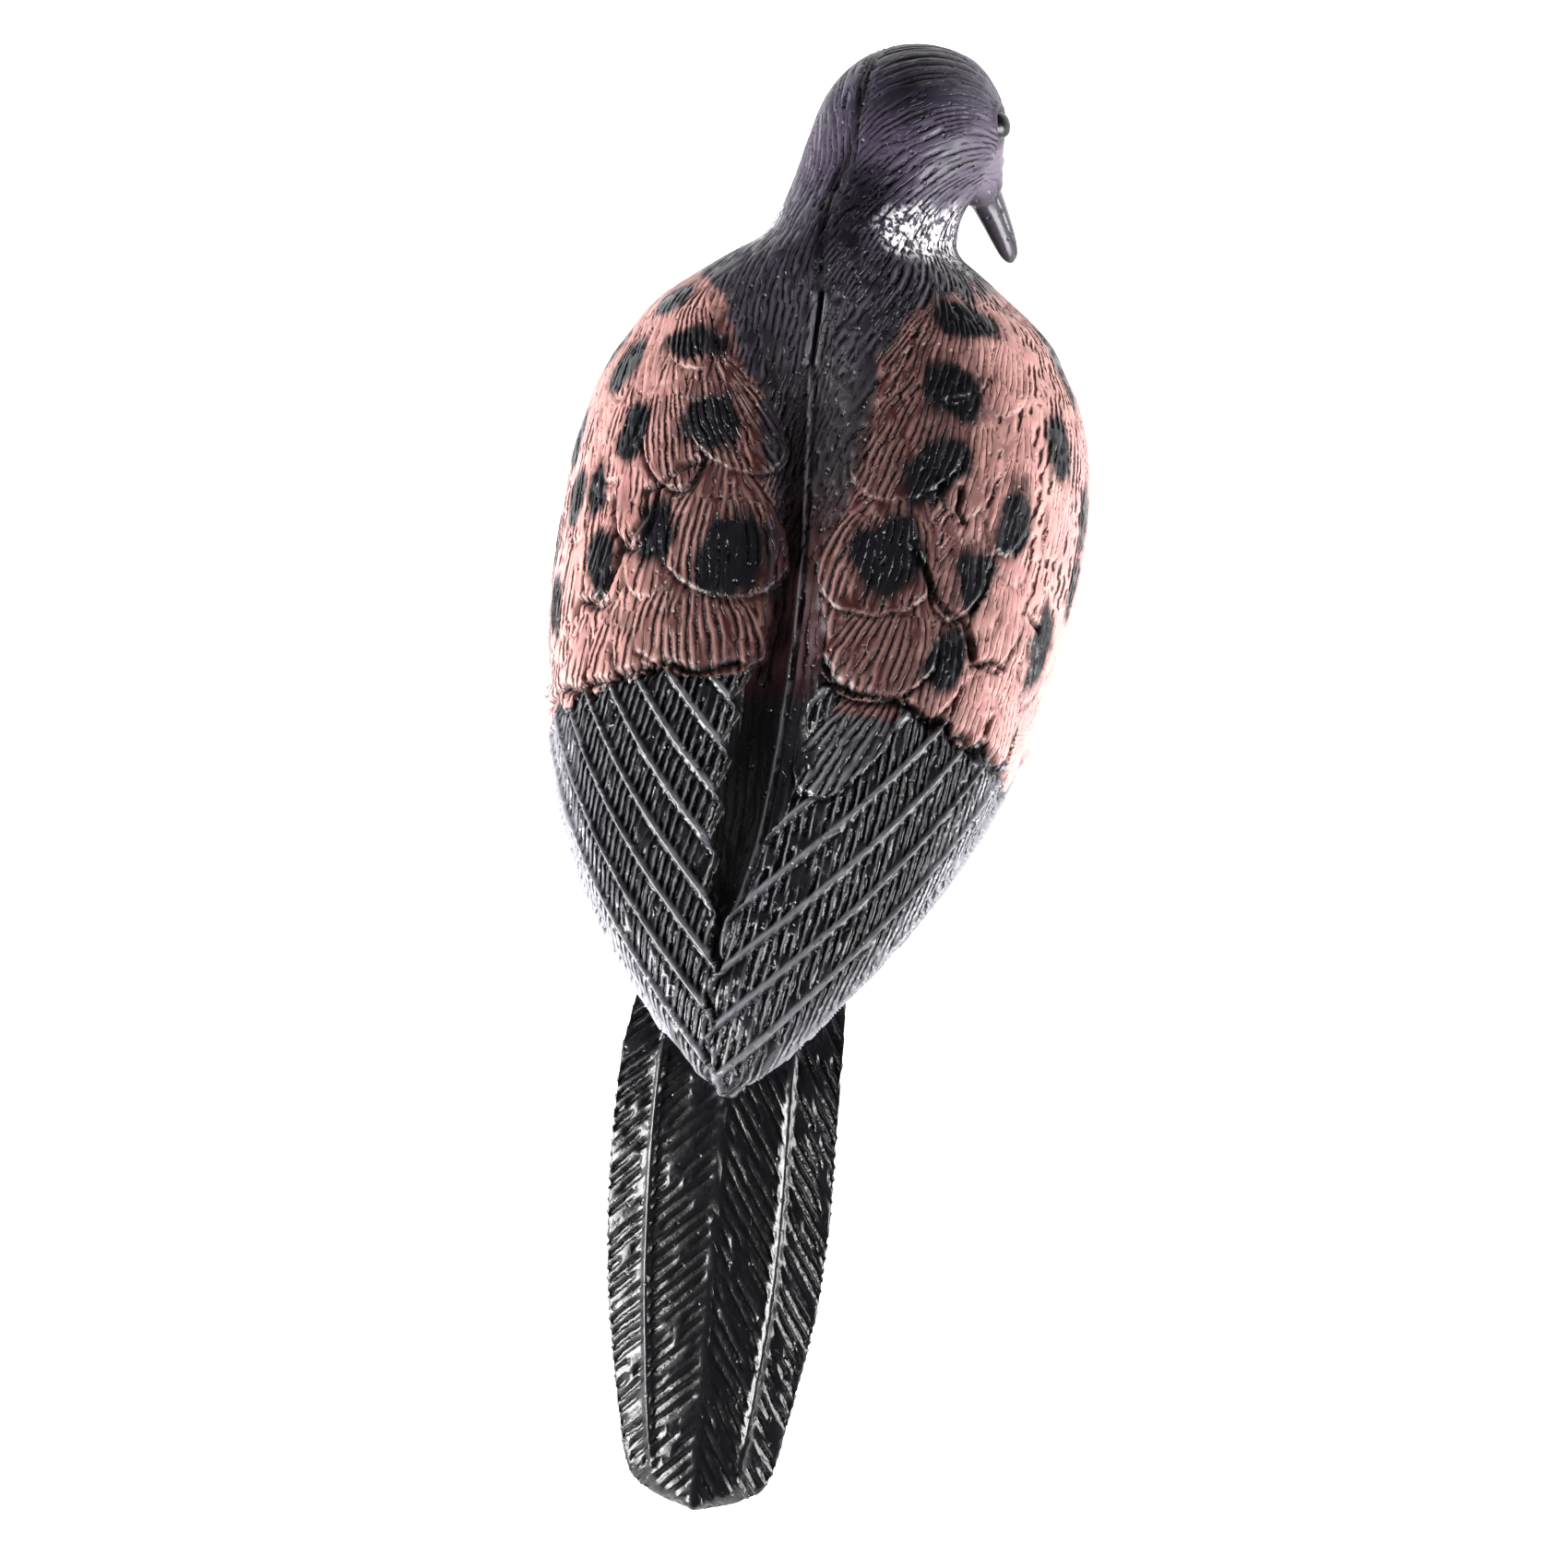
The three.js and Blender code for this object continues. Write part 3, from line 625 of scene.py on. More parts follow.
FLIGHT_SLOPE = 1.38  # mm that a flight feather's shaft runs tailwards for each mm inwards
FLIGHT_FIRST = {-1: 141.5, 1: 139.5}  # where the first shaft meets the mid-line
FLIGHT_PITCH = {-1: 9.9, 1: 11.3}  # along the mid-line
FLIGHT_ACROSS = 0.587  # what that pitch is square to the shafts
BARB_LEAN = {-1: 0.12, 1: -0.1}
SCALLOP = 1.3  # mm that each flight feather's tip stands past the wing's inner edge
CRACK_DEPTH = 1.7
FURROW = 0.95  # mm from a shaft or from the parting line to the furrow beside it
QUILLS = (-0.6, 0.57)  # the tail's outer quills, as shares of its half width
TAIL_RAKE = {-1: 0.9, 1: 1.6}  # mm that a tail barb runs tailwards for each mm outwards
HEAD_MIDDLE = np.array((12.0, 293.0, -30.0))
NECK_WAY = unit((-0.2, -0.95, 0.18))  # from there down the neck
STROKES = 64  # lines round each of the two places beside the bill that they leave
STROKES_ASIDE = 0.7  # how far aside those places are, for 1 ahead
HEAD_FROM = 205.0  # mm from the tail tip, where the head's strokes begin

# How grooves wander: mm across and along one bend (on the tail barbs and mm), and how far a bend
# swings, in grooves. Strokes are broken into dashes of so many mm.
BEND, HEAD_BEND, BARB_BEND = (2.6, 5.5), (2.6, 3.4), (1.6, 6)
SWING, HEAD_SWING, FLIGHT_SWING, TAIL_SWING = 1.9, 3.0, 0.75, 0.6
DASH, HEAD_DASH = 4.2, 2.2
HEAD_FLAT = (0.8, 0.6)  # shares of x and z that measure across the head

# The small soft coverts between the bold ones: rows and columns, where they start and how far
# they are apart (share across, mm from the tail tip), half width and length in mm
SMALL_ROWS, SMALL_COLUMNS = 9, 11
SMALL_FROM, SMALL_PITCH = (0.32, 166), (0.125, 11.2)
SMALL_SIZE = (4.2, 17)


class Feather:
    """A covert feather, in arc across and millimetres along the wing."""

    def __init__(self, zone, shape, step, fans):
        (self.root_across, self.root_y), (self.tip_across, self.tip_y), self.half, self.gap = shape
        self.zone, self.step, self.fans = zone, step, fans
        over = (self.tip_across - self.root_across) * WING_GIRTH
        self.length = math.hypot(over, self.tip_y - self.root_y)

    def local(self, at):
        """Along (0 root, 1 tip) and across (mm from its shaft)."""
        t = (self.root_y - at.y) / (self.root_y - self.tip_y)
        shaft = mix(self.root_across, self.tip_across, np.clip(t, 0, 1.1))
        return t, (at.across - shaft) * at.quarter

    def width(self, t):
        return self.half * (0.35 + 0.65 * np.sin(np.pi / 2 * np.clip(t / 0.66, 0, 1)) ** 0.9)

    def inside(self, t, v):
        """Distance in mm to the feather's border, positive inside."""
        beyond = np.clip((t - 0.6) / 0.4, 0, None)
        round_ = 1 - np.sqrt(beyond**2 + (v / self.width(t)) ** 2)
        return np.where(t > 0.6, round_ * min(self.half, 0.4 * self.length), self.width(t) - np.abs(v))


def small_coverts(side):
    """Shapes of the small soft coverts of a wing, slightly out of line, as far as the wing goes."""
    half, long = SMALL_SIZE
    for row in range(SMALL_ROWS):
        for column in range(SMALL_COLUMNS):
            jitter = 0.04 * (chance(row, column, 5) - 0.5)
            across = side * (SMALL_FROM[0] + SMALL_PITCH[0] * (column + 0.5 * (row % 2)) + jitter)
            tip = SMALL_FROM[1] + SMALL_PITCH[1] * row - 8 * max(0.0, abs(across) - 0.5)
            tip = tip + 5 * (chance(row, column, 6) - 0.5)
            if abs(across) < 1.3 and tip > COVERT_REAR(abs(across) * WING_GIRTH) + 4:
                yield (across - side * 0.04, tip + long), (across, tip), half, 0.15


def all_feathers(carving):
    """Every covert, the rearmost first, so that each next one lies over the last."""
    entries = []
    for side in (-1, 1):
        for shape in small_coverts(side):
            entries.append((shape[1][1] - 6, shape, 0.1, False))
        for shape in COVERTS[side]:
            entries.append((shape[1][1], shape, 0.2 + 0.4 * min(1, shape[3] / 2), True))
    entries.sort(key=lambda entry: entry[0])
    return [
        Feather(FIRST_FEATHER + i, shape, share * carving.covert_step, fans)
        for i, (_, shape, share, fans) in enumerate(entries)
    ]


def flight_band(at, side):
    """Which flight feather a point is on, counted from the inner one, as a real number."""
    crossing = at.y - FLIGHT_SLOPE * side * at.arc
    return (FLIGHT_FIRST[side] - crossing) / FLIGHT_PITCH[side] + 1


def head_strokes(carving, at, level=None):
    """A count that runs across the plumage of head and neck: its whole numbers are lines that
    leave a place on each side of the bill and run back down the neck. Where they spread, their
    number doubles; level says how often, and comes back with the count."""
    towards = at.points - HEAD_MIDDLE
    away = np.linalg.norm(towards, axis=1)
    towards = towards / away[:, None]
    one = unit(np.cross(NECK_WAY, (0, 0, 1)))
    two = np.cross(NECK_WAY, one)

    def flat(way):
        """A direction as a complex number on a flat map, with the neck's at infinity."""
        return (way @ one + 1j * (way @ two)) / np.maximum(1 - way @ NECK_WAY, 1e-3)

    here = flat(towards)
    count, pitch = np.zeros(len(at.y)), np.ones(len(at.y))
    parting = mix(-2.2, -4.6, smooth(292, 278, at.y))
    for side in (-1, 1):
        mine = (at.right >= parting) == (side > 0)
        source = flat(unit(STROKES_ASIDE * side * CHEEK + GAZE)[None])[0]
        off = here[mine] - source
        count[mine] = STROKES * np.angle(off) / (2 * np.pi)
        pitch[mine] = 2 * np.pi / STROKES * np.abs(off) * 2 * away[mine] / (1 + np.abs(here[mine]) ** 2)
    if level is None:
        ragged = 0.3 * noise(at.x / 2.5, at.y / 4, 61)
        level = np.clip(np.round(np.log2(pitch / carving.stroke_pitch) + ragged), -3, 4)
    return count * 2.0**level, level


def line_levels(carving, feathers, at, zone):
    """How often the number of grooves is doubled or halved, so that they stay evenly apart."""
    level = np.round(np.log2(at.quarter / WING_GIRTH) + 0.3 * noise(at.arc / 3, at.y / 5, 62))
    on = zone == HEAD_ZONE
    level[on] = head_strokes(carving, at.take(on))[1]
    for feather in feathers:
        on = zone == feather.zone
        t = feather.local(at.take(on))[0]
        level[on] = np.where(feather.width(np.clip(t, 0, 0.9)) < 0.72 * feather.half, -1, 0)
    return np.clip(level, -3, 4)


def waver(u, v, amount, seed):
    """How a field of lines wanders, in line spacings, and how strongly each is cut, which falls
    to nothing where two lines join into one."""
    coarse = noise(u, v, seed) + 1j * noise(u, v, seed + 1)
    fine = noise(2.3 * u, 2.1 * v, seed + 2) + 1j * noise(2.3 * u, 2.1 * v, seed + 3)
    swing = 1 + amount * (coarse + 0.5 * fine)
    return np.angle(swing) / (2 * np.pi), np.clip(1.2 * np.abs(swing) - 0.1, 0, 1)


def strokes(carving, feathers, at, zone, level):
    """For each point: a count across its zone's grooves, how far they wander from it, how
    strongly they are cut, and the millimetres along them."""
    count = at.across * WING_LINES * 2.0**level
    along = at.y.copy()
    u, v = at.arc / BEND[0], at.y / BEND[1]
    swing = np.full(len(at.y), SWING)
    for side in (-1, 1):
        on = zone == FLIGHTS[side]
        lean = side * at.arc[on] + BARB_LEAN[side] * (at.y[on] - 110)
        count[on] = lean / carving.barb_pitch
        swing[on] = FLIGHT_SWING
    on = zone == TAIL_ZONE
    out = at.tail_x[on]
    rake = np.where(out < 0, TAIL_RAKE[-1], TAIL_RAKE[1])
    steep = np.hypot(1, rake)
    count[on] = (at.y[on] + rake * np.abs(out)) / (carving.tail_pitch * steep)
    along[on] = np.abs(out) * steep
    u[on], v[on] = count[on] / BARB_BEND[0], along[on] / BARB_BEND[1]
    swing[on] = TAIL_SWING
    on = zone == HEAD_ZONE
    count[on] = head_strokes(carving, at.take(on), level[on])[0]
    along[on] = np.linalg.norm(at.points[on] - HEAD_MIDDLE, axis=1)
    u[on] = (HEAD_FLAT[0] * at.x[on] + HEAD_FLAT[1] * at.z[on]) / HEAD_BEND[0]
    v[on] = (at.y[on] + 0.4 * at.z[on]) / HEAD_BEND[1]
    swing[on] = mix(HEAD_SWING, SWING, smooth(255, 272, at.y[on]))
    for feather in feathers:
        on = zone == feather.zone
        here = at.take(on)
        t, off = feather.local(here)
        lines = max(3, round(2 * feather.half / carving.covert_pitch))
        count[on] = off / feather.width(np.clip(t, 0, 0.9)) * lines / 2 * 2.0 ** level[on]
    shift, strength = waver(u, v, swing, 11)
    dash = noise(7.3 * np.floor(count + shift), along / np.where(zone == HEAD_ZONE, HEAD_DASH, DASH), 17)
    gap = np.where(zone == HEAD_ZONE, -0.45, -0.7)
    return count, shift, strength * smooth(gap, gap + 0.6, dash), along


def off_line(at, run):
    """Distance in mm over the body from a run of straight strokes."""
    off = np.full(len(at.y), 99.0)
    for (across, y), (next_across, next_y) in zip(run, run[1:]):
        u, v = (at.across - across) * at.quarter, at.y - y
        long_u, long_v = (next_across - across) * at.quarter, next_y - y
        t = np.clip((u * long_u + v * long_v) / (long_u**2 + long_v**2), 0, 1)
        off = np.minimum(off, np.hypot(u - t * long_u, v - t * long_v))
    return off


def groove(count, lo, hi):
    """1 in the middle of each groove, 0 on the ridges between."""
    return 1 - smooth(lo, hi, np.abs(count - np.floor(count) - 0.5) * 2)


def barbed(zone):
    """Whether each zone is a vane with barbs."""
    return np.isin(zone, (FLIGHT_LEFT, FLIGHT_RIGHT, TAIL_ZONE))


def upper(at):
    """1 on the back and the wings, 0 underneath, where the carving is fainter."""
    return smooth(-1.3, -1.1, -np.abs(at.across))


def eye_distance(at):
    """Distance in mm over the skin from the middle of the nearer eye."""
    off = np.hypot(at.forward - EYE_FORWARD, at.up - EYE_UP)
    skin = np.where(at.right > 0, CHEEK_SKIN[1], CHEEK_SKIN[-1])
    return np.hypot(off, 0.5 * np.maximum(np.abs(np.abs(at.right) - skin) - 2.5, 0))


def on_face(size, at):
    """The skull and the skin round the eyes."""
    return (at.part == HEAD) | (eye_distance(at) < size.eye_diameter / 2 + 3)


class Relief:
    """What the carving makes of each point of the smooth form."""

    def __init__(self, carving, at):
        count = len(at.y)
        self.height = np.zeros(count)  # mm over the smooth form
        # shade: painted shade, how far each place is painted towards black, as in a gap or furrow
        self.shade = np.zeros(count)  # how dark a gap is
        self.quill = np.zeros(count)  # 1 on a raised shaft
        self.seam = np.zeros(count)  # 1 on the parting line's crest
        self.cut = np.full(count, 0.75)  # how deep grooves are cut
        self.zone = np.full(count, PLUMAGE)
        self.level = np.zeros(count)  # how often the number of grooves is doubled
        self.shell = carving.wing_step * smooth(0.79, 0.66, at.share)  # what coverts lie on, in mm

    # Adds painted shade, keeping the darker of the two
    def darken(self, amount):
        self.shade = np.maximum(self.shade, amount)


def carve_wing(relief, carving, at, side):
    """A folded wing's shell and, behind its coverts, the flight feathers with their shafts."""
    torso = at.part == TORSO
    facing = side * at.arc > -4
    edge = WING_INNER[side](at.share)
    rear = COVERT_REAR(np.abs(at.arc))
    band = flight_band(at, side)
    part = band - np.floor(band)
    scallop = SCALLOP * (1 - 2 * part) * smooth(2, -6, at.y - rear) * smooth(0.28, 0.34, at.share)
    inner = side * at.x - edge + scallop
    on = smooth(-0.5, 0.7, inner) * smooth(-0.01, 0.04, WING_OUTER(at.share) - np.abs(at.across))
    on = on * smooth(0.81, 0.68, at.share) * smooth(0.283, 0.3, at.share) * torso * facing
    relief.height = relief.height + carving.wing_step * on
    relief.shell = np.maximum(relief.shell, carving.wing_step * on)

    vane = torso & (side * at.x > edge - 0.2) & facing & (on > 0.3) & (at.y < rear + 8)
    across = part * FLIGHT_PITCH[side] * FLIGHT_ACROSS
    near = np.minimum(across, FLIGHT_PITCH[side] * FLIGHT_ACROSS - across)
    quill = bump(near, 0.45)
    step = carving.flight_step * 0.5 * (1 - part) - 0.45 * bump(across - FURROW, 0.3)
    relief.zone[vane] = FLIGHTS[side]
    relief.height = relief.height + np.where(vane, carving.quill_height * quill + step, 0) * on
    relief.quill = np.maximum(relief.quill, np.where(vane, quill, 0))
    # painted shade in the furrow beside each shaft
    relief.darken(np.where(vane, 0.8 * bump(across - FURROW, 0.28), 0))
    relief.cut = np.where(vane, smooth(0.35, 1.1, near) * 1.15, relief.cut)


def carve_covert(relief, at, feather):
    """Lays a covert over what is there: it rises to its tip, with a lip round a bold one's tip
    and a gap under it, painted dark as shade."""
    side = 1 if feather.tip_across > 0 else -1
    reach = (at.part == TORSO) & (at.side == side)
    reach &= (at.y > feather.tip_y - 4) & (at.y < feather.root_y + 6)
    reach &= np.abs(at.across - feather.tip_across) * at.quarter < feather.half + 14
    rows = np.flatnonzero(reach)
    if len(rows) == 0:
        return
    here = at.take(rows)
    t, v = feather.local(here)
    edge = feather.inside(t, v) + 0.45 * noise(v / 2.2, here.y / 3.5, feather.zone)
    over = smooth(-0.15, 0.35, edge) * smooth(-0.15, 0.1, t)
    wide = np.clip(v / feather.width(t), -1, 1)
    tipwards = smooth(0.35, 0.75, t)
    patchy = smooth(-0.7, 0.3, noise(v / 4, here.y / 5, feather.zone + 200))
    patchy = mix(patchy, 1, min(1, feather.gap / 1.6))
    top = relief.shell[rows] - 0.4 * feather.step
    top = top + feather.step * smooth(-0.2, 0.9, t) * (1 - 0.35 * wide**2)
    top = top + (0.16 * bump(edge - 0.6, 0.4) if feather.fans else 0) * tipwards * patchy
    crack = bump(edge + 0.3, 0.36) * tipwards * (edge < 0.1) * patchy
    depth = 0.12 + 0.5 * feather.gap
    # painted shade in the gap under the tip
    dark = crack * min(0.9, 0.2 + 0.55 * feather.gap)
    relief.height[rows] = mix(relief.height[rows] - depth * crack, top, over)
    relief.shade[rows] = mix(np.maximum(relief.shade[rows], dark), 0, over)
    relief.quill[rows] = mix(relief.quill[rows], 0, over)
    relief.cut[rows] = mix(relief.cut[rows], 0.85, over)
    if feather.fans:
        relief.zone[rows[over > 0.5]] = feather.zone


def carve_cracks(relief, at):
    """The ragged gaps where groups of coverts stand off, cut in and given painted shade."""
    ragged = 0.85 + 0.5 * noise(at.arc / 1.6, at.y / 1.6, 33)
    for wide, run in CRACKS:
        crack = bump(off_line(at, run), wide * ragged) * (at.part == TORSO)
        relief.height = relief.height - CRACK_DEPTH * crack
        relief.darken(crack)


def carve_valley(relief, at):
    """Faint grooves between the wings, and on the whole underside."""
    open_back = (at.part == TORSO) & (at.share < 0.56) & (np.abs(at.x) < 12) & (at.z > 0)
    floor = open_back & (relief.zone == PLUMAGE)
    relief.zone[floor] = VALLEY
    relief.cut[floor] *= 0.25
    relief.cut = relief.cut * mix(0.45, 1, upper(at))


def carve_tail(relief, carving, at):
    """The tail's outer quills, and its barbs, faint along the middle and underneath."""
    tail = at.part == TAIL
    top_side = smooth(1.6, 0.6, at.below_tail)
    edge = (1 - np.abs(at.tail_across)) * at.tail_half
    quill = sum(bump(at.tail_x - u * at.tail_half, 0.75) for u in QUILLS) * smooth(0.01, 0.06, at.share)
    calm = smooth(0.4, 2.0, np.abs(at.tail_x)) * smooth(0.3, 1.2, edge)
    calm = calm * mix(0.6, 1, smooth(0.3, 0.75, np.abs(at.tail_across)))
    barbs = mix(0.4, 1.15, top_side) * calm * (1 - np.clip(quill * 1.3, 0, 1))
    relief.zone[tail] = TAIL_ZONE
    relief.height = relief.height + np.where(tail, top_side * carving.quill_height * 1.2 * quill, 0)
    relief.quill = np.maximum(relief.quill, np.where(tail, top_side * quill, 0))
    relief.cut = np.where(tail, barbs, relief.cut)


def carve_head(relief, size, at):
    """The strokes of head and neck, fainter on the cheeks, rims round the eyes and the bill's gape, with
    painted shade in the gape and round the eyes.
    """
    ragged = 3 * noise(at.x / 4, at.z / 4, 31) + 14 * noise(at.x / 16, at.z / 16, 32)
    head = (at.part == HEAD) | ((at.part == TORSO) & (at.y > HEAD_FROM + ragged))
    head &= relief.zone < FIRST_FEATHER
    relief.zone[head] = HEAD_ZONE
    face, eye, off = on_face(size, at), size.eye_diameter / 2, eye_distance(at)
    cheek = smooth(0.1, 0.32, at.forward / size.head_length) * face
    plumage = (0.95 - 0.6 * cheek) * mix(mix(0.5, 1, upper(at)), 1, smooth(262, 276, at.y))
    relief.cut = np.where(head, plumage, relief.cut) * np.where(face, smooth(eye, eye + 2.2, off), 1)
    rim = 0.55 * bump(off - eye - 1.3, 0.7) - 0.9 * bump(off - eye - 0.25, 0.5)
    gape = bump(at.up + 0.14 * size.bill_height, 0.3) * at.bill * face
    relief.height = relief.height + np.where(face & (at.bill < 0.5) & (off < eye + 5), rim, 0)
    relief.height = relief.height - 0.5 * gape
    # painted shade in the gape and in the ring round each eye
    relief.darken(gape)
    relief.darken(np.where(face, bump(off - eye - 0.25, 0.6), 0))
    relief.zone[((at.bill > 0.3) & face) | (off < eye + 0.4)] = BARE


def carve_seam(relief, size, carving, at):
    """The mould's parting line, a fine ridge on the back and a groove on the neck, and the gate, with
    painted shade in their furrows and slot.
    """
    on_back = (at.z > -35) & (np.abs(at.dx) < 14) & ~on_face(size, at) & (np.abs(at.across) < 0.9)
    line = np.where(at.part == TAIL, at.tail_x, at.dx) - SEAM(at.share)
    furrow = bump(np.abs(line) - FURROW, 0.35)
    ridge = np.where(at.share < 0.8, carving.seam_height, -carving.seam_height)
    ridge = ridge * smooth(0.0, 0.01, at.share)
    relief.height = relief.height + on_back * (ridge * bump(line, 0.38) - 0.25 * furrow)
    # painted shade in the furrows beside the parting line and in its groove on the neck
    relief.darken(on_back * 0.6 * furrow)
    relief.darken(on_back * (at.share > 0.83) * 0.8 * bump(line, 0.5))
    gate = smooth(GATE[0] - 1, GATE[0], at.y) * smooth(GATE[1] + 1, GATE[1], at.y) * on_back
    relief.height = relief.height + gate * (0.9 * bump(np.abs(line) - 1.0, 0.4) - 1.4 * bump(line, 0.5))
    relief.darken(gate * bump(line, 0.6))
    # where a painted glint goes: the parting line's crest on the back and the gate's ridges
    relief.seam = on_back * (at.share < 0.76) * bump(line, 0.42)
    relief.seam = np.maximum(relief.seam, 1.6 * gate * bump(np.abs(line) - 1.0, 0.3))


def cut_grooves(relief, carving, feathers, at):
    """The grooves of every zone, narrow in the plumage and wide between barbs."""
    relief.level = line_levels(carving, feathers, at, relief.zone)
    count, shift, strength, _ = strokes(carving, feathers, at, relief.zone, relief.level)
    relief.cut = np.where(relief.zone == BARE, 0, relief.cut * strength)
    vane = barbed(relief.zone)
    lo, hi = np.where(vane, 0.25, 0.0), np.where(vane, 0.95, 0.62)
    relief.height = relief.height - carving.groove_depth * relief.cut * groove(count + shift, lo, hi)


def carve(size, carving, feathers, at):
    """All the carving, each part over the ones before it."""
    relief = Relief(carving, at)
    for side in (-1, 1):
        carve_wing(relief, carving, at, side)
    for feather in feathers:
        carve_covert(relief, at, feather)
    carve_cracks(relief, at)
    carve_valley(relief, at)
    carve_tail(relief, carving, at)
    carve_head(relief, size, at)
    carve_seam(relief, size, carving, at)
    cut_grooves(relief, carving, feathers, at)
    return relief


def blend_neck(thing, size, carving):
    """Softens the crease between head and neck, but not the eyes."""
    at = locate(size, carving, read_points(thing))
    near = np.exp(-(at.off_body**2 + at.off_head**2) / 40) * (at.share > 0.8) * (at.forward < 14)
    near = near * smooth(1.2, 2.6, eye_distance(at) - size.eye_diameter / 2)
    group = thing.vertex_groups.new(name="crease")
    for tenth in range(1, 11):
        rows = np.flatnonzero(np.ceil(near * 10) == tenth)
        group.add(rows.tolist(), tenth / 10, "REPLACE")
    apply_modifier(thing, "ease", "SMOOTH", factor=0.6, iterations=120, vertex_group="crease")


def moulded_skin(size, carving, feathers):
    """The bird's skin: forms grown together, carved, and thinned to a sensible mesh."""
    skin = raw_form(size, carving)
    apply_modifier(skin, "grow together", "REMESH", mode="VOXEL", voxel_size=carving.skin_step)
    apply_modifier(skin, "even", "SMOOTH", factor=0.5, iterations=8)
    blend_neck(skin, size, carving)
    points = read_points(skin)
    rest = skin.data.attributes.new("rest", "FLOAT_VECTOR", "POINT")
    rest.data.foreach_set("vector", points.astype(np.float32).ravel())
    normals = np.empty(points.size)
    skin.data.vertices.foreach_get("normal", normals)
    at = locate(size, carving, points)
    height = carve(size, carving, feathers, at).height
    write_points(skin, points + normals.reshape(-1, 3) * height[:, None])
    share = carving.triangles / (2 * len(skin.data.polygons))
    apply_modifier(skin, "thin out", "DECIMATE", ratio=share)
    return skin


def lie_down(size, points):
    """From the bird's own axes to the frame's, in metres, resting on its breast."""
    lean = size.lean
    y = np.linspace(0.5, 0.85, 201) * size.bird_length
    _, middle, _, down, _ = section(size, y)
    low = middle - down
    turned = y * math.sin(lean) + low * math.cos(lean)
    lowest = np.argmin(turned)
    x = points[:, 0]
    z = points[:, 1] * math.sin(lean) + points[:, 2] * math.cos(lean) - turned[lowest] - size.rest_depth
    ahead = y[lowest] * math.cos(lean) - low[lowest] * math.sin(lean)
    y = points[:, 1] * math.cos(lean) - points[:, 2] * math.sin(lean) - ahead
    return np.stack([x, y, z], axis=1) * MM


# Paint

MASKS = (
    "coverts", "brown", "mantle", "dust", "valley", "reddish", "sooty", "breast", "flight", "spots",
    "cheek", "bill", "eye", "bare", "vane", "flecks", "deep", "cut", "quill", "tail_black", "seam",
)
MANTLE_EDGE = {-1: -3.0, 1: 1.5}  # mm that the coverts' spray reaches past the wing's inner edge
# How strongly each flank gets its painted sheen
FLANK_SHEEN_AMOUNT = {-1: 0.6, 1: 0.35}  # how densely each flank is dusted
# Where sprayed paint, the flanks' painted sheen or the mantle's partly painted shade begins and where it
# is full, in mm from the tail tip
COVERTS_FRONT, FLIGHTS_FRONT, MANTLE_FRONT, SHEEN_FRONT = (266, 256), (188, 172), (280, 262), (250, 215)
SOOT_ON_COVERTS, REAR_BLACK_IN_VALLEY = (187, 176), (180, 168)
RED_FRONT, RED_REAR = (222, 205), (166, 174)
BREAST_FRONT, BREAST_REAR = (276, 262), (90, 130)
SPOT_SPREAD = 1.25  # how far the spray of a spot spreads past its size
FLECKED = [  # patches dry-brushed white: middle in the bird's axes, radius in mm, how densely
    ((14.0, 273.5, 3.0), 6.5, 0.9), ((19.3, 273.5, -4.0), 7.5, 0.9), ((22.8, 273.0, -15.0), 8.0, 0.9),
    ((-18.0, 272.0, -10.0), 7.0, 0.8),
]


def on_wings(at, wander):
    """Where the coverts' spray lies, short of the mantle and the valley."""
    reach = np.zeros(len(at.y))
    for side in (-1, 1):
        edge = side * at.x - WING_INNER[side](at.share)
        edge = edge + MANTLE_EDGE[side] * smooth(0.6, 0.72, at.share) + 2 * wander
        reach = np.maximum(reach, smooth(-4.0, 4.0, edge))
    return reach


def ahead_of_flights(at, zone, wander):
    """1 on the coverts and 0 on the flight feathers; the border is soft low on the flank."""
    low = smooth(0.95, 1.3, np.abs(at.across))
    rear = COVERT_REAR(np.abs(at.arc)) + low * (4 * wander - 6)
    open_edge = smooth(rear - 1.5 - 9 * low, rear + 1.0 + 9 * low, at.y)
    ahead = np.where(zone >= FIRST_FEATHER, smooth(rear - 9, rear - 2, at.y), open_edge)
    return np.where((at.y < 158) & (np.abs(at.across) <= 0.75), 0, ahead)


def spotted(at, wander):
    """The sprayed spots, frayed along the grooves."""
    streak = noise(at.arc / 1.3, at.y / 9, 43)
    spot = np.zeros(len(at.y))
    for across, y, wide, long in SPOTS:
        far = np.hypot((at.across - across) * at.quarter / wide, (at.y - y) / long)
        far = far / SPOT_SPREAD + 0.16 * wander + 0.2 * streak
        spot = np.maximum(spot, smooth(1.6, 0.5, far))
    return spot


def flecked(at, wander):
    """The neck patches."""
    patch = np.zeros(len(at.y))
    for middle, radius, amount in FLECKED:
        far = np.linalg.norm(at.points - middle, axis=1) / radius
        patch = np.maximum(patch, amount * smooth(1.15, 0.6, far + 0.12 * wander))
    return patch


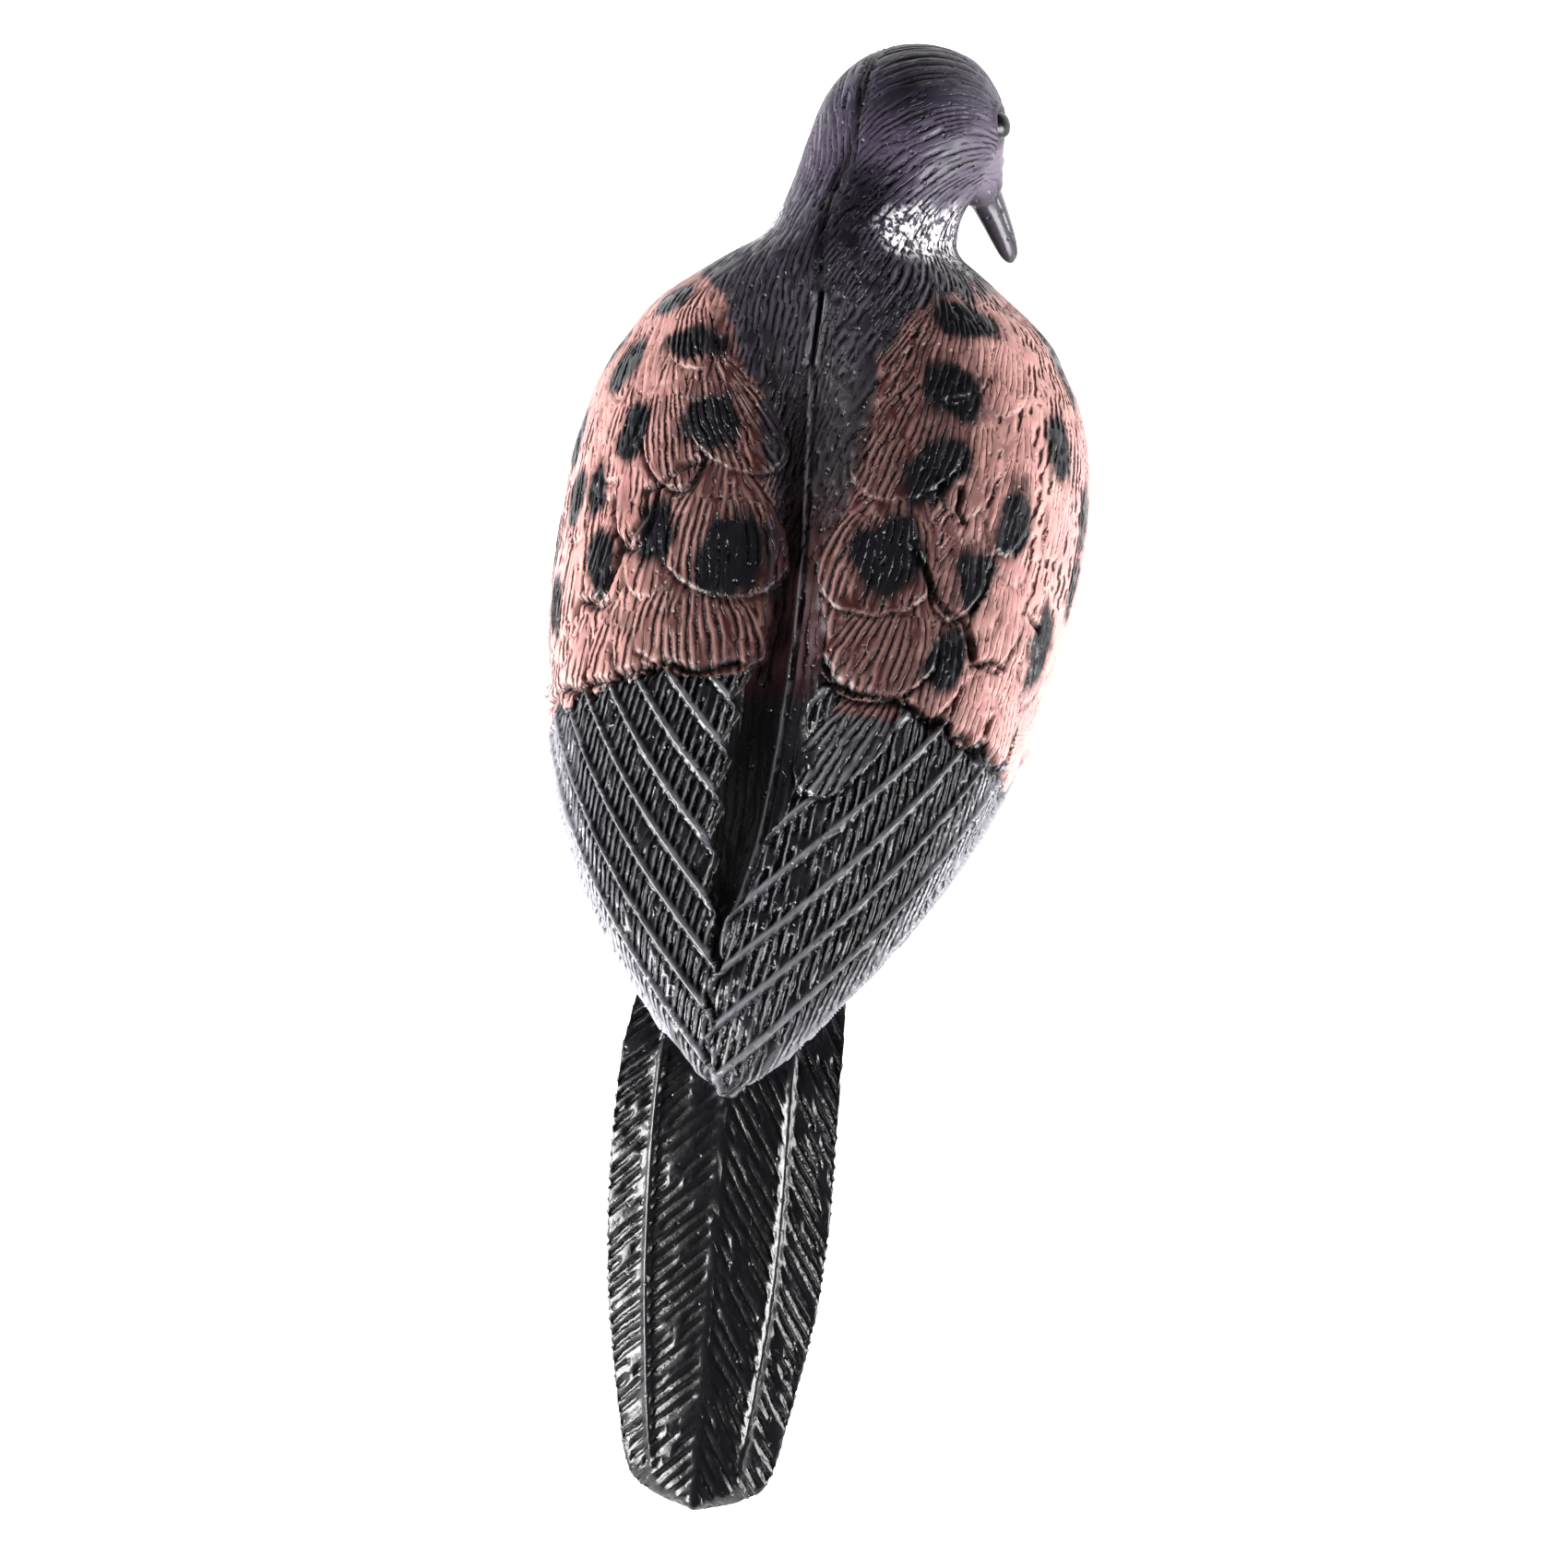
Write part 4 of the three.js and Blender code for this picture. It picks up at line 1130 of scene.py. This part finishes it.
def paint_masks(size, at, relief):
    """How much of each paint there is at each point, from 0 to 1."""
    torso, tail, head = (at.part == part for part in (TORSO, TAIL, HEAD))
    off_middle = np.abs(at.across)
    wander = noise(at.arc / 5, at.y / 5, 41) + 0.5 * noise(at.arc / 2, at.y / 2.4, 42)
    ahead = ahead_of_flights(at, relief.zone, wander)
    front = smooth(*COVERTS_FRONT, at.y + 3 * wander - 6 * smooth(0.6, 1.2, off_middle))
    flank = smooth(-1.62, -1.35, -off_middle)
    # Browner and darker towards the mid-line: partly the paint's tone, partly painted shade
    brown = smooth(0.6, 0.24, off_middle - 0.08 * (at.across > 0) + 0.07 * wander)
    sooted = 0.6 * smooth(*SOOT_ON_COVERTS, at.y + 2 * wander) * smooth(0.7, 0.35, off_middle)
    sheen_by_side = np.where(at.x > 0, FLANK_SHEEN_AMOUNT[1], FLANK_SHEEN_AMOUNT[-1]) * torso
    gap = np.minimum(at.x + WING_INNER[-1](at.share), WING_INNER[1](at.share) - at.x)
    gap = smooth(-2.0, 2.5, gap + wander) * torso * (at.z > -5)
    belly = smooth(1.5, 1.75, off_middle) * torso
    dark = (1 - ahead) * smooth(*FLIGHTS_FRONT, at.y) * smooth(1.75, 1.5, off_middle)
    return {
        "coverts": torso * on_wings(at, wander) * ahead * front * flank,
        "brown": torso * np.maximum(brown, sooted),
        # partly the paint's darker purple, partly painted shade between the shoulders
        "mantle": torso * smooth(*MANTLE_FRONT, at.y + 4 * wander),
        # painted sheen along the flanks, stronger on the bird's left
        "dust": sheen_by_side * smooth(0.6, 0.95, off_middle + 0.04 * wander) * smooth(*SHEEN_FRONT, at.y),
        # painted shade between the wings, black towards the rear
        "valley": 0.85 * gap * smooth(0.84, 0.68, at.share),
        "reddish": smooth(*RED_FRONT, at.y + 4 * wander) * smooth(*RED_REAR, at.y),
        "sooty": smooth(*REAR_BLACK_IN_VALLEY, at.y + 2 * wander),
        "breast": belly * smooth(*BREAST_REAR, at.y) * smooth(*BREAST_FRONT, at.y + 3 * wander),
        "flight": np.maximum(torso * dark, tail),
        "spots": spotted(at, wander) * torso,
        "cheek": 0.6 * head * smooth(-0.25, 0.3, at.forward / size.head_length),
        "bill": at.bill * head,
        "eye": smooth(0.3, -0.2, eye_distance(at) - size.eye_diameter / 2),
        "bare": (relief.zone == BARE).astype(float),
        "vane": barbed(relief.zone).astype(float),
        "flecks": flecked(at, wander) * torso,
        # painted shade in gaps, cracks and furrows
        "deep": relief.shade,
        "cut": relief.cut,
        "quill": relief.quill,
        "tail_black": np.where(tail, mix(1.0, 0.7, smooth(0.35, 0.85, np.abs(at.tail_across))), 0),
        "seam": relief.seam,
    }


def store(mesh, name, values):
    """A number for each point, that materials can read."""
    attribute = mesh.attributes.new(name, "FLOAT", "POINT")
    attribute.data.foreach_set("value", values.astype(np.float32))


def store_strokes(mesh, carving, feathers, at, zone, level):
    """A UV map with the groove count and the length along it, whole for each face."""
    corners = np.empty(len(mesh.loops), np.int32)
    mesh.loops.foreach_get("vertex_index", corners)
    starts = np.empty(len(mesh.polygons), np.int32)
    totals = np.empty(len(mesh.polygons), np.int32)
    mesh.polygons.foreach_get("loop_start", starts)
    mesh.polygons.foreach_get("loop_total", totals)
    first = corners[starts]
    face_zone, face_level = np.repeat(zone[first], totals), np.repeat(level[first], totals)
    count, shift, _, along = strokes(carving, feathers, at.take(corners), face_zone, face_level)
    lead = np.repeat(count[starts], totals)
    shift_lead = np.repeat(shift[starts], totals)
    turns = STROKES * 2.0**face_level
    over = (face_zone == HEAD_ZONE) & (np.abs(count - lead) > turns / 2)
    count = count - np.where(over, np.sign(count - lead) * turns, 0)
    count = count + shift - np.round(shift - shift_lead)
    uv = mesh.uv_layers.new(name="strokes")
    flat = np.stack([count, along / 10], axis=1).astype(np.float32)
    uv.data.foreach_set("uv", flat.ravel())


def linear(text):
    """An sRGB hex colour as linear RGBA."""
    parts = [int(text[i : i + 2], 16) / 255 for i in (1, 3, 5)]
    return tuple(c / 12.92 if c <= 0.04045 else ((c + 0.055) / 1.055) ** 2.4 for c in parts) + (1.0,)


def add_node(tree, kind, inputs=None, **settings):
    """A node with its settings; each input is a value, or the socket or node that feeds it."""
    made = tree.nodes.new(kind)
    for key, value in settings.items():
        setattr(made, key, value)
    for key, value in (inputs or {}).items():
        if isinstance(value, bpy.types.Node):
            value = next(socket for socket in value.outputs if socket.enabled)
        if isinstance(value, bpy.types.NodeSocket):
            tree.links.new(value, made.inputs[key])
        else:
            made.inputs[key].default_value = value
    return made


FACTOR, FIRST, SECOND = 0, 6, 7  # a Mix node's sockets when it mixes colours

# How wide the patches of each noise are, in mm, and its detail. Grain is drawn a little coarser
# than the real spray's, because finer grain wouldn't show.
NOISES = {"blotch": (9.0, 3.0), "fine": (1.3, 2.0), "grain": (0.4, 2.0), "fleck": (1.4, 3.0)}

# Coats whose edges were sprayed: how grainy an edge is, and where in its mask it fades in
SPRAYED = {"coverts": (0.5, 0.25, 0.75), "flight": (0.35, 0.3, 0.7), "spots": (0.4, 0.15, 0.85)}

# Each paint: its first coat, then where another coat lies over it. Later ones use earlier ones.
# Some coats are painted light: the highlight on ridges, with their wear, the sheen on the flanks,
# the glint on the seam, and shade in the valley and, partly, on the mantle and near the back.
COATS = {
    "salmon": (
        "covert", ("blotch", "covert_pale"), ("dust", "dust"), ("brown", "covert_shade"),
        ("crest_wear_and_highlight", "covert_crest"),
    ),
    "charcoal": (
        "flight", ("blotch", "tail"), ("tail_black", "tail"), ("dust", "flight_crest"),
        ("barb_wear_and_highlight", "flight_crest"),
    ),
    # hollow: painted shade between the wings
    "hollow": ("valley", ("reddish", "valley_red"), ("sooty", "tail")),
    "skin": (
        "head", ("blotch", "head_dark"), ("mantle", "mantle"), ("cheek", "cheek"), ("crest_wear_and_highlight", "cheek"),
        ("breast", "breast"), ("bill", "bill"), ("eye", "tail"), ("coverts", "salmon"),
        ("flight", "charcoal"), ("spots", "spot"), ("flecks", "fleck"), ("valley", "hollow"),
        ("line", "flight_crest"),
    ),
}


# Grooves in the material, in line spacings from a groove's middle: where its floor ends and where
# the crest of the ridge begins, and how much further out both are between barbs
FLOOR_END, CREST_START = (0.16, 0.17), (0.14, 0.2)
# How strongly crests and quills are lightened, partly as wear and partly as painted highlight, and the
# seam as a painted glint
CREST_WEAR_HIGHLIGHT, BARB_WEAR_HIGHLIGHT, SEAM_GLINT = 0.4, 0.5, 0.3  # how much of a crest's, a quill's and the seam's paint is worn
PITS_APART = 3.4  # mm between the mould's pits
RELIEF_DEPTH = 0.4  # mm


def groove_nodes(tree, where, noises):
    """How much of a groove's floor and of a ridge's crest each place is."""
    lines = add_node(tree, "ShaderNodeUVMap", uv_map="strokes")
    count = add_node(tree, "ShaderNodeSeparateXYZ", {"Vector": lines}).outputs["X"]
    ragged = {0: noises["fine"], 1: 0.3, 2: count}
    ragged = add_node(tree, "ShaderNodeMath", ragged, operation="MULTIPLY_ADD")
    part = add_node(tree, "ShaderNodeMath", {0: ragged}, operation="FRACT")
    part = add_node(tree, "ShaderNodeMath", {0: part, 1: 0.5}, operation="SUBTRACT")
    off = add_node(tree, "ShaderNodeMath", {0: part}, operation="ABSOLUTE")
    ends = []
    for narrow, more in (FLOOR_END, CREST_START):
        end = {0: where["vane"], 1: more, 2: narrow}
        ends.append(add_node(tree, "ShaderNodeMath", end, operation="MULTIPLY_ADD"))
    floor = add_node(tree, "ShaderNodeMapRange", {0: off, 1: 0.04, 2: ends[0], 3: 1.0, 4: 0.0})
    ridge = add_node(tree, "ShaderNodeMapRange", {0: off, 1: ends[1], 2: 0.48})
    return [
        add_node(tree, "ShaderNodeMath", {0: shape, 1: where["cut"]}, operation="MULTIPLY", use_clamp=True)
        for shape in (floor, ridge)
    ]


def place_coats(tree, where, noises, carved, crest):
    """Adds where crests, quills and the seam are lightened, partly as wear and partly as painted highlight
    or glint, where paint is sprayed, and the flecks of the neck patches.
    """
    where["blotch"] = add_node(tree, "ShaderNodeMapRange", {0: noises["blotch"], 1: 0.35, 2: 0.65})
    high = add_node(tree, "ShaderNodeMath", {0: crest, 1: where["quill"]}, operation="MAXIMUM")
    high = {0: high, 1: where["tail_black"]}
    high = add_node(tree, "ShaderNodeMath", high, operation="SUBTRACT", use_clamp=True)
    wear_and_highlight = {"crest_wear_and_highlight": (crest, CREST_WEAR_HIGHLIGHT), "barb_wear_and_highlight": (high, BARB_WEAR_HIGHLIGHT), "line": (where["seam"], SEAM_GLINT)}
    for name, (source, amount) in wear_and_highlight.items():
        where[name] = add_node(tree, "ShaderNodeMath", {0: source, 1: amount}, operation="MULTIPLY")
    for name, (grainy, low, top) in SPRAYED.items():
        grains = {0: noises["fine"], 1: grainy, 2: where[name]}
        rough_edge = add_node(tree, "ShaderNodeMath", grains, operation="MULTIPLY_ADD")
        fade = {0: rough_edge, 1: low + grainy / 2, 2: top + grainy / 2}
        where[name] = add_node(tree, "ShaderNodeMapRange", fade, interpolation_type="SMOOTHSTEP")
    dabs = add_node(tree, "ShaderNodeMapRange", {0: noises["fleck"], 1: 0.46, 2: 0.54})
    dabs = add_node(tree, "ShaderNodeMath", {0: dabs, 1: carved}, operation="SUBTRACT", use_clamp=True)
    where["flecks"] = add_node(tree, "ShaderNodeMath", {0: dabs, 1: where["flecks"]}, operation="MULTIPLY")


def layer_coats(tree, colours, where, carved):
    """The colour of all coats, with painted shade: darkened in the grooves and black in the gaps."""
    paints = {}
    for name, (base, *coats) in COATS.items():
        colour = linear(getattr(colours, base))
        for amount, coat in coats:
            over = paints[coat] if coat in paints else linear(getattr(colours, coat))
            coated = {FACTOR: where[amount], FIRST: colour, SECOND: over}
            colour = add_node(tree, "ShaderNodeMix", coated, data_type="RGBA")
        paints[name] = colour
    # Painted shade: grooves darkened by how deep they are cut
    groove_shaded = {FACTOR: carved, FIRST: paints["skin"], SECOND: linear(colours.groove)}
    colour = add_node(tree, "ShaderNodeMix", groove_shaded, data_type="RGBA", blend_type="MULTIPLY")
    # Painted shade: gaps and furrows painted towards black
    painted_gap_shade = {FACTOR: where["deep"], FIRST: colour, SECOND: linear(colours.tail)}
    return add_node(tree, "ShaderNodeMix", painted_gap_shade, data_type="RGBA")


def painted_plastic(colours):
    """Blow-moulded polyethylene sprayed with matt and satin paints: soft broad highlights, colours
    that fade into each other at sprayed edges, ridges lightened by wear and a painted highlight,
    grooves and gaps darkened with painted shade, and small pits and beads from the mould."""
    material = bpy.data.materials.new("painted_plastic")
    material.use_nodes = True
    tree = material.node_tree
    tree.nodes.clear()
    place = add_node(tree, "ShaderNodeTexCoord").outputs["Object"]
    where = {}
    for name in MASKS:
        where[name] = add_node(tree, "ShaderNodeAttribute", attribute_name=name).outputs["Fac"]
    noises = {}
    for name, (width, detail) in NOISES.items():
        noises[name] = add_node(tree, "ShaderNodeTexNoise", {
            "Vector": place, "Scale": 1 / (width * MM), "Detail": detail, "Roughness": 0.55,
        }).outputs["Fac"]
    carved, crest = groove_nodes(tree, where, noises)
    place_coats(tree, where, noises, carved, crest)
    colour = layer_coats(tree, colours, where, carved)

    # Satin blacks, bill and eyes among matt colours, all a little uneven
    satin = add_node(tree, "ShaderNodeMath", {0: where["spots"], 1: 0.7}, operation="MULTIPLY")
    for name in ("flight", "bare"):
        satin = add_node(tree, "ShaderNodeMath", {0: satin, 1: where[name]}, operation="MAXIMUM")
    rough = add_node(tree, "ShaderNodeMapRange", {0: satin, 3: 0.38, 4: 0.2})
    uneven = {0: noises["fine"], 1: 0.12, 2: rough}
    rough = add_node(tree, "ShaderNodeMath", uneven, operation="MULTIPLY_ADD")

    # Relief too fine for the mesh: the floor of each groove, the spray's grain and the mould's
    # pits. Paint fills most of it on the tail.
    pits = {"Vector": place, "Scale": 1 / (PITS_APART * MM)}
    pits = add_node(tree, "ShaderNodeTexVoronoi", pits).outputs["Distance"]
    relief = add_node(tree, "ShaderNodeMapRange", {0: pits, 1: 0.06, 2: 0.16, 3: -0.6, 4: 0.0})
    for amount, source in ((-1.0, carved), (0.06, noises["grain"]), (0.12, noises["fine"])):
        heaped = {0: source, 1: amount, 2: relief}
        relief = add_node(tree, "ShaderNodeMath", heaped, operation="MULTIPLY_ADD")
    filled = add_node(tree, "ShaderNodeMapRange", {0: where["tail_black"], 3: 1.0, 4: 0.4})
    relief = add_node(tree, "ShaderNodeMath", {0: relief, 1: filled}, operation="MULTIPLY")
    facing = {"Height": relief, "Distance": RELIEF_DEPTH * MM, "Strength": 1.0}
    facing = add_node(tree, "ShaderNodeBump", facing)
    shader = add_node(tree, "ShaderNodeBsdfPrincipled", {
        "Base Color": colour, "Roughness": rough, "Normal": facing, "IOR": 1.4,
    })
    add_node(tree, "ShaderNodeOutputMaterial", {"Surface": shader})
    return material


def pale_floor(colours):
    """Matt white laminate: even and without gloss, so that nothing draws the eye from the bird."""
    material = bpy.data.materials.new("matt_laminate")
    material.use_nodes = True
    tree = material.node_tree
    tree.nodes.clear()
    shader = add_node(tree, "ShaderNodeBsdfPrincipled", {
        "Base Color": linear(colours.floor), "Roughness": 0.9, "Specular IOR Level": 0.1,
        "Emission Color": linear(colours.floor), "Emission Strength": colours.glow,
    })
    add_node(tree, "ShaderNodeOutputMaterial", {"Surface": shader})
    return material


# Operators, one for the bird and one for the stage

MOST_TRIANGLES = 200000
TAIL_TIP_BELOW = (17.32, 153.7)  # mm from the tail tip to the middle of the photograph, across and up


class DOVE_OT_mould(bpy.types.Operator):
    """Mould, carve and paint the dove over its solid"""

    bl_idname = "dove.mould"
    bl_label = "Mould the dove"

    def execute(self, context):
        scene = context.scene
        size, carving = in_mm(scene.dove_sizes), in_mm(scene.dove_carving)
        carving.triangles = scene.dove_carving.triangles
        feathers = all_feathers(carving)
        skin = moulded_skin(size, carving, feathers)
        mesh = skin.data
        rest = np.empty(len(mesh.vertices) * 3, np.float32)
        mesh.attributes["rest"].data.foreach_get("vector", rest)
        rest = rest.reshape(-1, 3).astype(float)
        at = locate(size, carving, rest)
        relief = carve(size, carving, feathers, at)
        for name, values in paint_masks(size, at, relief).items():
            store(mesh, name, values)
        store_strokes(mesh, carving, feathers, at, relief.zone, relief.level)
        mesh.attributes.remove(mesh.attributes["rest"])
        skin.vertex_groups.clear()
        points = lie_down(size, read_points(skin))
        points[:, 2] = np.maximum(points[:, 2], 0)
        write_points(skin, points)
        mesh.materials.clear()
        mesh.materials.append(painted_plastic(scene.dove_paint))
        deselect()
        skin.select_set(True)
        context.view_layer.objects.active = skin
        bpy.ops.object.shade_smooth()
        skin.name = PIECE
        mesh.name = PIECE
        mesh.calc_loop_triangles()
        if len(mesh.loop_triangles) >= MOST_TRIANGLES:
            raise RuntimeError("the dove has too many triangles")
        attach(skin, "root")
        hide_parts("decoy")
        return {"FINISHED"}


class DOVE_OT_stage(bpy.types.Operator):
    """Set the pale floor, the soft lights and the camera"""

    bl_idname = "dove.stage"
    bl_label = "Set the stage"

    def execute(self, context):
        scene = context.scene
        look, size = scene.dove_stage, in_mm(scene.dove_sizes)
        deselect()
        bpy.ops.mesh.primitive_plane_add(size=8.0)
        floor = context.object
        floor.name = "floor"
        floor.data.materials.append(pale_floor(look))

        back = np.array((math.sin(look.stands_right), 0, math.cos(look.stands_right)))
        flat = np.array((math.cos(look.stands_right), 0, -math.sin(look.stands_right)))
        ahead = np.array((0.0, 1.0, 0.0))
        right = math.cos(look.roll) * flat + math.sin(look.roll) * ahead
        up = -math.sin(look.roll) * flat + math.cos(look.roll) * ahead
        middle = TAIL_TIP_BELOW[0] * right + TAIL_TIP_BELOW[1] * up
        aim = lie_down(size, np.array([middle, middle + back, middle + right, middle + up]))
        target = Vector(aim[0])
        back, right, up = (Vector(end - aim[0]).normalized() for end in aim[1:])

        bpy.ops.object.camera_add(location=target + look.distance * back)
        camera = context.object
        turned = Matrix((right, up, back)).transposed()
        camera.rotation_euler = turned.to_euler()
        camera.data.lens = camera.data.sensor_width * look.distance / look.photo_width
        scene.camera = camera

        softboxes = (  # which way (right, up, off the back), metres away, width and height, watts
            ("left softbox", (-1, -0.3, 0.3), 0.75, (0.6, 0.25), 1.2 * look.side_light),
            ("right softbox", (1, -0.35, 0.46), 0.75, (0.6, 0.3), 0.85 * look.side_light),
            ("top softbox", (0, 0.6, 1), 1.1, (0.3, 0.3), look.top_light),
        )
        for name, (to_right, to_top, off), away, (wide, high), watts in softboxes:
            way = to_right * right + to_top * up + off * back
            place = target + away * way.normalized()
            bpy.ops.object.light_add(type="AREA", location=place)
            light = context.object
            light.name = name
            light.data.shape = "RECTANGLE"
            light.data.size = wide
            light.data.size_y = high
            light.data.energy = watts
            light.rotation_euler = (place - target).to_track_quat("Z", "Y").to_euler()

        world = bpy.data.worlds.new("pale_surroundings")
        scene.world = world
        world.use_nodes = True
        sky = world.node_tree.nodes["Background"]
        sky.inputs["Color"].default_value = (1, 1, 1, 1)
        sky.inputs["Strength"].default_value = look.sky
        scene.view_settings.view_transform = "Standard"
        return {"FINISHED"}


class DOVE_PT_panel(bpy.types.Panel):
    """The decoy's sizes, colours and steps, in the sidebar"""

    bl_label = "Dove Decoy"
    bl_idname = "DOVE_PT_panel"
    bl_space_type = "VIEW_3D"
    bl_region_type = "UI"
    bl_category = "Dove Decoy"

    def draw(self, context):
        for name in GROUPS:
            box = self.layout.box()
            box.label(text=name.replace("_", " "))
            group = getattr(context.scene, name)
            for key in group.bl_rna.properties.keys():
                if key not in ("rna_type", "name"):
                    box.prop(group, key)
        for operator in (DOVE_OT_mould, DOVE_OT_stage):
            self.layout.operator(operator.bl_idname)


GROUPS = {
    "dove_sizes": DoveSizes, "dove_carving": DoveCarving, "dove_paint": DovePaint,
    "dove_stage": StageLook,
}
CLASSES = (*GROUPS.values(), DOVE_OT_mould, DOVE_OT_stage, DOVE_PT_panel)


def register():
    for each in CLASSES:
        bpy.utils.register_class(each)
    for name, group in GROUPS.items():
        setattr(bpy.types.Scene, name, bpy.props.PointerProperty(type=group))


def unregister():
    for name in GROUPS:
        delattr(bpy.types.Scene, name)
    for each in reversed(CLASSES):
        bpy.utils.unregister_class(each)


def main():
    register()
    bpy.ops.dove.mould()
    bpy.ops.dove.stage()


if __name__ == "__main__":
    main()
